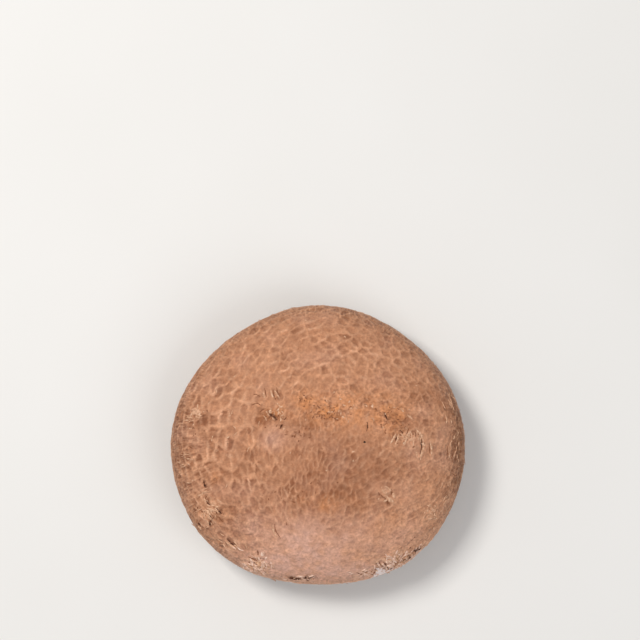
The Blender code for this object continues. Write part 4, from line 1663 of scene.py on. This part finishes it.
def lay_ruffles(skin):
    """Rough torn skin: small crests that run round the cap, painted lighter on top and darker in the
    hollows as painted light and shade, with stains and gaps between them.
    """
    ruffled = np.clip(skin.zones(RUFFLED_ZONES), 0, 1.3)
    wave = 0.75 * skin.strands(*RUFFLES) + 0.5 * skin.noise(*RUFFLE_BREAKS)
    crest = 1 - 3.4 * np.abs(wave)
    skin.relief += RUFFLE_RELIEF * ruffled * np.clip(crest, -0.8, 1)
    # Painted light and shade: the tone follows the crests' height, lighter on them and darker between them.
    skin.paint["tone"] += RUFFLE_LIGHT_AND_SHADE * ruffled * crest
    skin.deepen("pale", 0.8 * ruffled * smooth_step(0.25, 0.8, crest))
    skin.deepen("stain_and_shadow", 0.8 * ruffled * smooth_step(0.14, 0.42, skin.noise(*RUFFLE_STAINS)))
    skin.deepen("dark", 0.35 * ruffled * smooth_step(0.3, 0.5, skin.noise(*RUFFLE_GAPS)))


def half_width(shape, width, along, rough):
    """Half of a mark's width in millimetres, from its width in pixels, full in its middle and ragged."""
    scale, ends, middle = shape
    fullness = ends + middle * np.sin(math.pi * along)
    return scale * width * PIXEL / MM * fullness * (1 + MARK_RAGGED * rough)


def lay_splits(skin, rough, broken):
    """Dark narrow splits with a stained border."""
    for line, width, depth in SPLITS:
        off, _, along = skin.near_line(line)
        half = half_width(SPLIT_SHAPE, width, along, rough)
        core = np.exp(-((off / half) ** 2)) * broken
        skin.relief -= SPLIT_DEPTH * depth * core
        skin.deepen("dark", SPLIT_DARKNESS * depth * core)
        border = np.exp(-((off / (STAIN_WIDER * half)) ** 2)) * (1 + 0.8 * rough)
        skin.deepen("stain_and_shadow", SPLIT_STAIN * depth * border)


def lay_scratches(skin, rough, broken):
    """Pale raised scratches."""
    for line, width, strength in SCRATCHES:
        off, _, along = skin.near_line(line)
        half = half_width(SCRATCH_SHAPE, width, along, rough)
        core = np.exp(-((off / half) ** 2)) * broken
        skin.relief += SCRATCH_RELIEF * strength * core
        skin.deepen("pale", SCRATCH_PALENESS * strength * core)


def lay_ridges(skin, broken):
    """The skin under each lifted edge, raised along it, with a painted shadow on its shaded side."""
    for line, width, strength in (*SCRATCHES, *random_ridges()):
        off, side, along = skin.near_line(line)
        half = RIDGE_SHARE * width * PIXEL / MM
        reach_out = np.sin(math.pi * along) * (off < RIDGE_REACH * half)
        core = np.exp(-((off / half) ** 2)) * reach_out
        skin.relief += RIDGE_CARVED * SCRATCH_RELIEF * strength * core
        # The side away from the light, down and right in the picture, is in shade: a painted shadow darkens
        # the gap beside the edge there.
        (start_x, start_y), (end_x, end_y) = line[0], line[-1]
        shady = np.sign((end_x - start_x) + (end_y - start_y) * 0.2) * -side > 0
        gap = np.exp(-(((off - GAP_OFF * half) / (GAP_WIDTH * half)) ** 2)) * reach_out * shady
        skin.deepen("stain_and_shadow", GAP_SHADOW * strength * gap * broken)


def lay_stains(skin, rough):
    """Small dark pits and stains."""
    for place, reach, strength in STAINS:
        spot = zone(skin.pixels, place, reach) * skin.on_top * (1 + 0.6 * rough)
        skin.relief -= STAIN_DEPTH * strength * spot
        skin.deepen("dark", strength * spot)


def lay_scraps(skin, rough):
    """Raised scraps of skin with a painted shadow round their border."""
    for outline, rise, paleness in SCRAPS:
        within = skin.inside(outline) + 0.25 * rough
        scrap = smooth_step(-0.15, 0.2, within)
        skin.relief += rise * scrap
        skin.deepen("pale", paleness * scrap * (0.75 + 0.5 * rough))
        # A painted shadow darkens the skin just outside each scrap.
        skin.deepen("stain_and_shadow", 0.5 * paleness * smooth_step(-0.7, -0.3, within) * (1 - scrap))


def lay_tears(skin, rough):
    """Places where the skin is torn off and the flesh shows, with shreds and dirt left on it."""
    for outline, sink in TEARS:
        within = skin.inside(outline) + 1.1 * rough + 0.5 * skin.noise(*TEAR_EDGE)
        torn = smooth_step(-0.1, 0.35, within)
        skin.relief -= sink * torn * (1 + 2 * rough)
        for name in ("stain_and_shadow", "dark", "olive"):
            skin.paint[name] *= 1 - torn
        skin.deepen("flesh", torn * (1 - 0.8 * smooth_step(0.2, 0.5, skin.noise(*TEAR_SKIN))))
        skin.deepen("olive", 0.2 * torn * smooth_step(0.1, 0.4, skin.noise(*TEAR_DIRT)))
        skin.deepen("stain_and_shadow", 0.6 * smooth_step(-0.9, -0.1, within) * (1 - torn))


def lay_marks(skin):
    """Splits, scratches, pits, lifted scraps and torn places, all a little ragged."""
    rough = skin.noises(ROUGH_EDGES)
    broken = np.clip(0.85 + 0.9 * skin.noise(*BROKEN_MARKS), *BROKEN_LIMITS)
    lay_ruffles(skin)
    lay_splits(skin, rough, broken)
    lay_scratches(skin, rough, broken)
    lay_ridges(skin, broken)
    lay_stains(skin, rough)
    lay_scraps(skin, rough)
    lay_tears(skin, rough)


def lay_margin(skin):
    """Below the rim the skin thins out and the flesh shows, with fibres drawn over it."""
    reach = skin.past_rim
    for share, *streaks in MARGIN_REACH:
        reach = reach + share * skin.streaks(*streaks)
    skin.deepen("flesh", smooth_step(0.35, 0.85, reach) * (skin.past_rim > 0))
    skin.relief += MARGIN_RELIEF * skin.streaks(*MARGIN_FIBRES) * smooth_step(0.2, 0.6, skin.past_rim)
    for name in ("olive", "stain_and_shadow", "dark", "pale"):
        skin.paint[name] *= 1 - 0.7 * skin.paint["flesh"]


def make_cap(material):
    """The whole cap: scaly skin over the dome, rolled fibrous margin and the flesh beneath."""
    skin = Skin(cap_sheet())
    lay_unevenness(skin)
    lay_scales(skin)
    lay_fibres(skin)
    lay_colours(skin)
    lay_marks(skin)
    lay_margin(skin)
    skin.finish()
    shade_smooth(skin.piece, SKIN_CREASE)
    finish_piece(skin.piece, material, "cap")
    return skin


# The gills.


def gill_blade():
    """One gill before it is bent: a flat grid given a thickness, 1 long, 1 deep and 1 thick."""
    piece = grid_piece("gill_blade", GILL_STATIONS - 1, 2)
    thick = piece.modifiers.new("thickness", "SOLIDIFY")
    thick.thickness = 2.0
    thick.offset = 0.0
    bpy.ops.object.modifier_apply(modifier=thick.name)
    return piece


def bent_gill(blade, start, angle, layer):
    """A copy of the gill at its angle round the stem, with a wavy run and a ragged free edge."""
    piece = blade.copy()
    piece.data = blade.data.copy()
    bpy.context.scene.collection.objects.link(piece)
    u, v, side = points_of(piece).T
    share = start + (GILL_EDGE[-1][0] - start) * (u + 1) / 2
    root = height_on(UNDERSIDE[1:], share) - ROOF_GAP - GILL_ROOT
    low = height_on(GILL_EDGE, share)
    if start > GILL_STARTS[0]:
        bare = root - GILL_BED
        before, past = SHORT_GILL_GROWS
        low = bare + (low - bare) * smooth_step(start + before, start + past, share)
    low = low + GILL_RAGGED * noise_at(share * GILL_RAGGED_RUN, layer)
    depth = (1 - v) / 2
    height = root + (low - root) * depth
    wave = noise_at(share * SWAY_RUN, layer, depth * SWAY_DEPTH)
    sway = GILL_SWAY * wave * smooth_step(start, start + SWAY_GROWS, share)
    thick = GILL_THICKNESS + (GILL_EDGE_THICKNESS - GILL_THICKNESS) * depth**2
    across = side * thick / 2 + sway
    radius = share * CAP_RADIUS
    x = radius * math.cos(angle) - across * math.sin(angle)
    y = radius * math.sin(angle) + across * math.cos(angle)
    place_points(piece, grown(np.column_stack((x, y, height))))
    paint(piece, "edge", smooth_step(*PALE_EDGE, depth))
    return piece


def make_gills(material):
    """Long, middling and short gills round the stem, hanging from their thin bed."""
    chance = random.Random(GILL_DRAW)
    blade = gill_blade()
    blades = []
    count = GILL_ROUND * len(GILL_STARTS)
    for number in range(count):
        start = GILL_STARTS[number % len(GILL_STARTS)]
        if start > GILL_STARTS[0]:
            start += chance.uniform(-START_STRAY, START_STRAY)
        angle = math.tau * (number + chance.uniform(-ANGLE_STRAY, ANGLE_STRAY)) / count
        blades.append(bent_gill(blade, start, angle, number * GILL_LAYER))
    bpy.data.objects.remove(blade)

    shares = np.linspace(BED_INNER, BED_OUTER, BED_STATIONS)
    roof = [(share * CAP_RADIUS, height_on(UNDERSIDE[1:], share) - ROOF_GAP) for share in shares]
    under = [(radius, height - GILL_BED) for radius, height in roof]
    bed = turned("gill_bed", roof + under[::-1] + roof[:1], BED_TURNS)
    place_points(bed, grown(points_of(bed)))
    paint(bed, "edge", np.zeros(len(bed.data.vertices)))
    piece = joined("gill_blades", [bed, *blades])
    face_outwards(piece)
    shade_smooth(piece, CREASE)
    finish_piece(piece, material, "gills")


# The stem.

# Steps along the stem's side and across its cut end.
SIDE_STEPS = 60
CUT_STEPS = 26
OVAL_TURN = 0.6
# Fibres run up the stem: how many round it, how long, and how much they swell it.
STEM_FIBRES = (14, 14 * MM)
STEM_FINE_FIBRES = (30, 8 * MM)
FINE_FIBRE_SHARE = 0.6
STEM_LUMPS = (1.6, 9 * MM)
FIBRE_SWELL = 0.020
LUMP_SWELL = 0.022
# The cut end: which points lie on it, how deep it is hollowed, its grain and its softer pith.
CUT_HEIGHT = 0.05 * MM
CUT_SHARE = 0.93
CUT_HOLLOW = 0.30 * MM
CUT_GRAIN = 1.3 * MM
CUT_GRAIN_RELIEF = 0.12
PITH_RELIEF = 0.25
PITH_EDGE = (0.62, 0.40)
CUT_DEEPEST = 1.2 * MM


def stem_oval(angle):
    """How much wider the stem is in a direction, as a share."""
    return STEM_OVAL * np.cos(2 * angle + OVAL_TURN)


def round_noise(cos, sin, count, height):
    """Noise round the stem or the rim, about so many bumps in its width."""
    return noise_at(cos * count, sin * count, height)


def make_stem(material):
    """The stout fibrous stem with its cut end, a little oval."""
    side_line, _ = curve_through([(r * STEM_RADIUS / CAP_RADIUS, z) for r, z in STEM_PROFILE], SIDE_STEPS)
    side_line = [(r * CAP_RADIUS, z) for r, z in side_line]
    top = UNDERSIDE[-1][1] - GAP
    cut = [(side_line[0][0] * t, 0.0) for t in np.linspace(0, 1, CUT_STEPS)[:-1]]
    side_line = [(r, min(z, top)) for r, z in side_line]
    side_line[-1] = (side_line[-1][0], top)
    profile = [(0.0, top), *side_line[::-1], *cut[::-1]]
    piece = turned("cut_stem", profile, STEM_TURNS)
    even = points_of(piece)
    x, y, z = even.T
    angle = np.arctan2(y, x)
    radius = np.hypot(x, y)
    share = radius / STEM_RADIUS
    cos, sin = np.cos(angle), np.sin(angle)
    broad, fine, lump = (
        round_noise(cos, sin, count, z / length)
        for count, length in (STEM_FIBRES, STEM_FINE_FIBRES, STEM_LUMPS)
    )
    fibre = broad + FINE_FIBRE_SHARE * fine
    on_side = smooth_step(0.2 * MM, 2.0 * MM, z) * (z < top - 0.1 * MM)
    swell = 1 + stem_oval(angle) + (FIBRE_SWELL * fibre + LUMP_SWELL * lump) * on_side
    cut_face = (z < CUT_HEIGHT) * (share < CUT_SHARE)
    hollow = CUT_HOLLOW * smooth_step(0.95, 0.75, share) * cut_face
    grain = noise_at(x / CUT_GRAIN, y / CUT_GRAIN, 3.0)
    pith = smooth_step(*PITH_EDGE, share + 0.10 * round_noise(cos, sin, 2, 5.0))
    coarse = CUT_GRAIN_RELIEF * (grain + 1) + PITH_RELIEF * pith * (0.6 + grain)
    lift = hollow + cut_face * MM * coarse
    place_points(piece, np.column_stack((x * swell, y * swell, z + np.clip(lift, 0, CUT_DEEPEST))))
    low = smooth_step(4.0 * MM, 0.5 * MM, z) * np.clip(0.5 + fibre, 0, 1) * (share > 0.96)
    paint(piece, "cut", np.clip(cut_face * (0.35 + 0.5 * pith + 0.3 * grain) + 0.5 * low, 0, 1))
    paint(piece, "dark", np.clip(cut_face * pith * 0.5 * (grain + 0.4) + 0.25 * low * (fibre > 0.3), 0, 1))
    face_outwards(piece)
    shade_smooth(piece, CREASE)
    finish_piece(piece, material, "stem")
    return piece


# The torn veil, its ring on the stem, loose skin and soil.

VEIL_EDGE = 0.8685
VEIL_TOP = 11.3 * MM
VEIL_LIP = 10.6 * MM
VEIL_RAGGED = 4.5 * MM
VEIL_TEAR = 5.0 * MM
VEIL_THICKNESS = 0.32 * MM
VEIL_TURNS = 540
VEIL_STEPS = 7
# The veil's finer shreds and its waves: how far, and how many round the cap.
VEIL_SHREDS = (0.5 * MM, 26)
VEIL_THREADS = (0.35 * MM, 90)
VEIL_LEAST = 0.1 * MM
VEIL_WAVES = ((0.9 * MM, 9), (0.35 * MM, 40))
VEIL_THINS = 0.55
# The ring's outline: share of the stem's radius and height.
STEM_RING = (
    (0.93, 11.9),
    (1.00, 11.7),
    (1.07, 11.2),
    (1.10, 10.5),
    (1.095, 9.7),
    (1.07, 9.8),
    (1.06, 10.5),
    (1.01, 10.9),
    (0.93, 10.8),
)
STEM_RING_SWAY = 2.2 * MM
# The height that the ring's torn edge hangs from, how far it hangs, and how much it swells.
RING_HANG = 10.2
RING_SHREDS = 1.1 * MM
RING_SWELL = 0.035
# Loose flakes of skin: place, reach, how many, length and width in millimetres, and lift.
FLAKE_ZONES = (
    ((256, 566), (12, 7), 14, 1.5, 0.7, 0.20),
    ((388, 564), (14, 6), 14, 1.5, 0.7, 0.20),
    ((210, 515), (8, 14), 9, 1.4, 0.6, 0.16),
    ((410, 440), (13, 9), 8, 1.3, 0.5, 0.16),
    ((275, 415), (8, 6), 5, 1.1, 0.5, 0.18),
    ((436, 512), (6, 12), 7, 1.3, 0.6, 0.16),
    ((196, 418), (7, 10), 6, 1.2, 0.6, 0.14),
    ((302, 579), (14, 2), 5, 1.4, 0.6, 0.18),
    ((352, 408), (34, 12), 10, 0.9, 0.4, 0.16),
    ((384, 496), (7, 8), 4, 1.4, 0.6, 0.14),
    ((318, 430), (110, 100), 14, 0.9, 0.35, 0.12),
    ((273, 580), (2, 1), 2, 1.6, 0.5, 0.25),
    ((194.6, 525), (1, 2), 2, 1.6, 0.5, 0.25),
)
FLAKE_DRAW = 21
FLAKE_STRAY = 0.6
FLAKE_SIZES = (0.6, 1.4)
FLAKE_LIFTS = (0.3, 1.5)
# A flake lies mostly round the cap, a rim fibre up and down it, each with this spread of its turn.
FLAKE_TURN = 0.7
FIBRE_TURN = 1.3
FLAKE_RAGGED = 0.4
FLAKE_THICKNESS = 0.1 * MM
RIM_FIBRES = 90
RIM_FIBRE_RINGS = 6
RIM_FIBRE_LENGTHS = (0.7, 1.8)
RIM_FIBRE_WIDTH = 0.16 * MM
RIM_FIBRE_LIFTS = (0.0, 0.35)
# How far apart in the noise two flakes lie.
FLAKE_LAYER = 1.7
# How far apart a strip's stations are, in pixels, and the fewest that it has.
STRIP_STEP = 0.8
STRIP_LEAST = 4
# A strip's taper: its first station's share, the share its stations span, and how blunt it is.
STRIP_TAPER = (0.05, 0.9, 0.7)
STRIP_RAGGED = 0.7
STRIP_SINK = 0.2 * MM
# A lifted edge's width, and its height: what grows with its strength, and what it always has.
EDGE_WIDER = 1.35
EDGE_RISE = (0.24 * MM, 0.05 * MM)
SPLIT_RISE = 0.04 * MM
FAINT_WIDER = 1.1
DEEP_WIDER = 1.15
# How dark a split is that shows nearly black.
DEEP_SPLIT = 0.65
# The pixel row from which lifted edges are paler.
PALE_BELOW = 545
SOIL_DRAW = 8
SOIL_ON_STEM = 34
SOIL_HEIGHTS = (0.9 * MM, 6 * MM)
SOIL_SIZES = (0.18, 0.55)
SOIL_RAGGED = 0.5
# The black speck on the cap: its pixel and its half width.
SOIL_SPECK = (364, 442)
SPECK_SIZE = 0.42 * MM


def veil_drop(cos, sin):
    """How far the torn veil hangs, as its solid has it."""
    tear = CAP_RADIUS / VEIL_TEAR
    return VEIL_RAGGED * np.clip(noise_at(cos * tear, sin * tear), 0, None)


def make_veil(material):
    """A thin ragged curtain that hangs from the margin's inner edge."""
    radius = VEIL_EDGE * CAP_RADIUS
    depths = np.linspace(0, 1, VEIL_STEPS)
    outer = [(radius, -depth) for depth in depths]
    inner = [(radius - VEIL_THICKNESS, -depth) for depth in depths[::-1]]
    piece = turned("torn_veil", [*outer, *inner, outer[0]], VEIL_TURNS)
    x, y, depth = points_of(piece).T
    angle = np.arctan2(y, x)
    cos, sin = np.cos(angle), np.sin(angle)
    shreds, shred_count = VEIL_SHREDS
    threads, thread_count = VEIL_THREADS
    hang = veil_drop(cos, sin) + shreds * (0.6 + round_noise(cos, sin, shred_count, 2.0))
    hang = np.maximum(hang + threads * round_noise(cos, sin, thread_count, 4.0), VEIL_LEAST)
    height = VEIL_TOP + (VEIL_TOP - VEIL_LIP + hang) * depth
    sway = -depth * sum(size * round_noise(cos, sin, count, depth) for size, count in VEIL_WAVES)
    inside = np.hypot(x, y) < radius - VEIL_THICKNESS / 2
    thin = VEIL_THICKNESS * VEIL_THINS * -depth * inside
    radius_now = np.hypot(x, y) + sway + thin
    place_points(piece, grown(np.column_stack((radius_now * cos, radius_now * sin, height))))
    face_outwards(piece)
    shade_smooth(piece, CREASE)
    finish_piece(piece, material)


def make_stem_ring(material):
    """The low ragged ring that the veil left round the stem."""
    loop = [(share * STEM_RADIUS, height * MM) for share, height in (*STEM_RING, STEM_RING[0])]
    piece = turned("stem_ring", loop, 2 * STEM_TURNS)
    x, y, z = points_of(piece).T
    angle = np.arctan2(y, x)
    cos, sin = np.cos(angle), np.sin(angle)
    low = smooth_step(1.0, 1.09, np.hypot(x, y) / STEM_RADIUS)
    torn = round_noise(cos, sin, 7, 1.0) + 0.6 * round_noise(cos, sin, 22, 2.0)
    swell = 1 + stem_oval(angle) + RING_SWELL * torn * low
    sway = STEM_RING_SWAY * round_noise(cos, sin, 2, 0.5)
    hang = RING_SHREDS * torn * low * smooth_step(RING_HANG + 0.8, RING_HANG - 0.4, z / MM)
    place_points(piece, np.column_stack((x * swell, y * swell, z + sway - hang)))
    face_outwards(piece)
    shade_smooth(piece, CREASE)
    finish_piece(piece, material)


def strip_mesh(name, tree, strips):
    """Thin tapered strips that lie on the skin along lines of pixels, as one object."""
    points, faces = [], []
    start, span, bluntness = STRIP_TAPER
    for number, (line, width, rise) in enumerate(strips):
        line = np.array(line)
        lengths = np.concatenate(([0.0], np.cumsum(np.hypot(*np.diff(line, axis=0).T))))
        marks = np.linspace(0, lengths[-1], max(STRIP_LEAST, round(lengths[-1] / STRIP_STEP)))
        pixels = zip(np.interp(marks, lengths, line[:, 0]), np.interp(marks, lengths, line[:, 1]))
        found = [tree.ray_cast(*camera_ray(pixel))[:2] for pixel in pixels]
        found = [(place, up) for place, up in found if place is not None and place.z > RIM_HEIGHT]
        if len(found) < STRIP_LEAST:
            continue
        first, last = len(points), len(found) - 1
        for index, (place, up) in enumerate(found):
            along = found[min(index + 1, last)][0] - found[max(index - 1, 0)][0]
            across = up.cross(along).normalized()
            full = math.sin(math.pi * (start + span * index / last)) ** bluntness
            ragged = 1 + STRIP_RAGGED * noise.noise((index * 0.8, number * 3.7, 0.0))
            half = 0.5 * width * PIXEL * full * ragged
            left, right = place - across * half, place + across * half
            points += [left, place + up * rise * full, right, place - up * STRIP_SINK]
        for index in range(last):
            corners = [first + 4 * index + corner for corner in range(4)]
            for a, b in zip(corners, corners[1:] + corners[:1]):
                faces.append((a, b, b + 4, a + 4))
        faces.append(tuple(range(first, first + 4)))
        faces.append(tuple(range(first + 4 * last, first + 4 * last + 4)))
    mesh = bpy.data.meshes.new(name)
    mesh.from_pydata(points, [], faces)
    piece = bpy.data.objects.new(name, mesh)
    bpy.context.scene.collection.objects.link(piece)
    face_outwards(piece)
    return piece


def make_strips(skin, skin_edge, pale_edge, split, deep_split):
    """The lifted edges of torn skin and the dark floors of its splits."""
    tree = BVHTree.FromObject(skin.piece, bpy.context.evaluated_depsgraph_get())
    grows, least = EDGE_RISE
    ridges = [
        (line, EDGE_WIDER * width, grows * strength + least)
        for line, width, strength in (*SCRATCHES, *random_ridges())
    ]
    high = [ridge for ridge in ridges if ridge[0][0][1] < PALE_BELOW]
    low = [ridge for ridge in ridges if ridge[0][0][1] >= PALE_BELOW]
    faint = [(line, FAINT_WIDER * width, SPLIT_RISE) for line, width, depth in SPLITS if depth < DEEP_SPLIT]
    faint += [(line, width, SPLIT_RISE) for line, width in random_flecks()]
    deep = [(line, DEEP_WIDER * width, SPLIT_RISE) for line, width, depth in SPLITS if depth >= DEEP_SPLIT]
    for name, strips, material in (
        ("lifted_edges", high, skin_edge),
        ("pale_edges", low, pale_edge),
        ("fine_splits", faint, split),
        ("deep_splits", deep, deep_split),
    ):
        finish_piece(strip_mesh(name, tree, strips), material)


def flake_sheet():
    """One flake before it is bent: a small grid given a thickness, 2 long, 2 wide and 2 thick."""
    piece = grid_piece("flake", 4, 2)
    thick = piece.modifiers.new("thickness", "SOLIDIFY")
    thick.thickness = 2.0
    thick.offset = 0.0
    bpy.ops.object.modifier_apply(modifier=thick.name)
    return piece


def laid_flake(sheet, place, normal, turn, size, layer):
    """A copy of the flake, bent and ragged, lying on the skin with one end lifted."""
    length, width, lift = size
    piece = sheet.copy()
    piece.data = sheet.data.copy()
    bpy.context.scene.collection.objects.link(piece)
    u, v, side = points_of(piece).T
    ragged = 1 + FLAKE_RAGGED * noise_at(u * 1.7 + layer, v * 1.7, layer)
    along = u * length / 2 * ragged
    across = v * width / 2 * ragged * np.sqrt(np.clip(1.05 - 0.9 * u**2, 0.05, 1))
    high = lift * length * ((u + 1) / 2) ** 2 + 0.25 * width * lift * v**2 + side * FLAKE_THICKNESS / 2
    up = normal / np.linalg.norm(normal)
    out = np.array((place[0], place[1], 0.0))
    ahead = out - up * (out @ up)
    ahead /= max(np.linalg.norm(ahead), 1e-9)
    beside = np.cross(up, ahead)
    cos, sin = math.cos(turn), math.sin(turn)
    ahead, beside = ahead * cos + beside * sin, beside * cos - ahead * sin
    place_points(piece, place + np.outer(along, ahead) + np.outer(across, beside) + np.outer(high, up))
    return piece


def make_flakes(skin, material):
    """Loose flakes where the skin is torn, and short fibres along the rim."""
    chance = random.Random(FLAKE_DRAW)
    surface = points_of(skin.piece)
    facing = normals_of(skin.piece)
    sheet = flake_sheet()
    pieces = []

    def add_flake(row, turn, size):
        layer = len(pieces) * FLAKE_LAYER
        pieces.append(laid_flake(sheet, surface[row], facing[row], turn, size, layer))

    for place, reach, count, length, width, lift in FLAKE_ZONES:
        for _ in range(count):
            x = chance.gauss(place[0], FLAKE_STRAY * reach[0])
            y = chance.gauss(place[1], FLAKE_STRAY * reach[1])
            grow = chance.uniform(*FLAKE_SIZES) * MM
            size = (length * grow, width * grow, lift * chance.uniform(*FLAKE_LIFTS))
            add_flake(skin.nearest((x, y)), chance.gauss(math.pi / 2, FLAKE_TURN), size)
    at_rim = np.flatnonzero(np.abs(skin.ring - DOME_RINGS - 2) < RIM_FIBRE_RINGS)
    for _ in range(RIM_FIBRES):
        row = at_rim[chance.randrange(len(at_rim))]
        length = chance.uniform(*RIM_FIBRE_LENGTHS) * MM
        size = (length, RIM_FIBRE_WIDTH, chance.uniform(*RIM_FIBRE_LIFTS))
        add_flake(row, chance.gauss(0, FIBRE_TURN), size)
    bpy.data.objects.remove(sheet)
    piece = joined("skin_flakes", pieces)
    face_outwards(piece)
    finish_piece(piece, material)


def make_soil(skin, stem, material):
    """A few specks of casing soil on the stem's foot, and one black speck on the cap."""
    chance = random.Random(SOIL_DRAW)
    surface = points_of(stem)
    lowest, highest = SOIL_HEIGHTS
    at_foot = np.flatnonzero((surface[:, 2] > lowest) & (surface[:, 2] < highest))
    spots = [
        (surface[chance.choice(at_foot)], chance.uniform(*SOIL_SIZES) * MM) for _ in range(SOIL_ON_STEM)
    ]
    spots.append((points_of(skin.piece)[skin.nearest(SOIL_SPECK)], SPECK_SIZE))
    specks = []
    for place, size in spots:
        deselect()
        bpy.ops.mesh.primitive_ico_sphere_add(subdivisions=1, radius=1.0)
        speck = bpy.context.object
        x, y, z = points_of(speck).T
        ragged = 1 + SOIL_RAGGED * noise_at(x + place[0] * 900, y, z)
        place_points(speck, place + points_of(speck) * size * ragged[:, None])
        specks.append(speck)
    piece = joined("soil_specks", specks)
    face_outwards(piece)
    finish_piece(piece, material)


# The floor.


def make_floor():
    """A wide pale table just under the stem's cut end."""
    deselect()
    bpy.ops.mesh.primitive_plane_add(size=FLOOR_SIDE)
    floor = bpy.context.object
    floor.name = "floor"
    floor.data.materials.append(floor_material())


def main():
    set_camera()
    set_studio()
    make_floor()
    skin = make_cap(skin_material())
    make_gills(gill_material())
    stem = make_stem(stem_material())
    torn = veil_material()
    make_veil(torn)
    make_stem_ring(torn)
    make_flakes(skin, flake_material("skin_flake", FLAKE_TINTS))
    make_strips(
        skin,
        flake_material("skin_edge", EDGE_TINTS),
        flake_material("pale_edge", PALE_EDGE_TINTS),
        split_material("split", SPLIT_TINTS),
        split_material("deep_split", DEEP_SPLIT_TINTS),
    )
    make_soil(skin, stem, soil_material())


main()
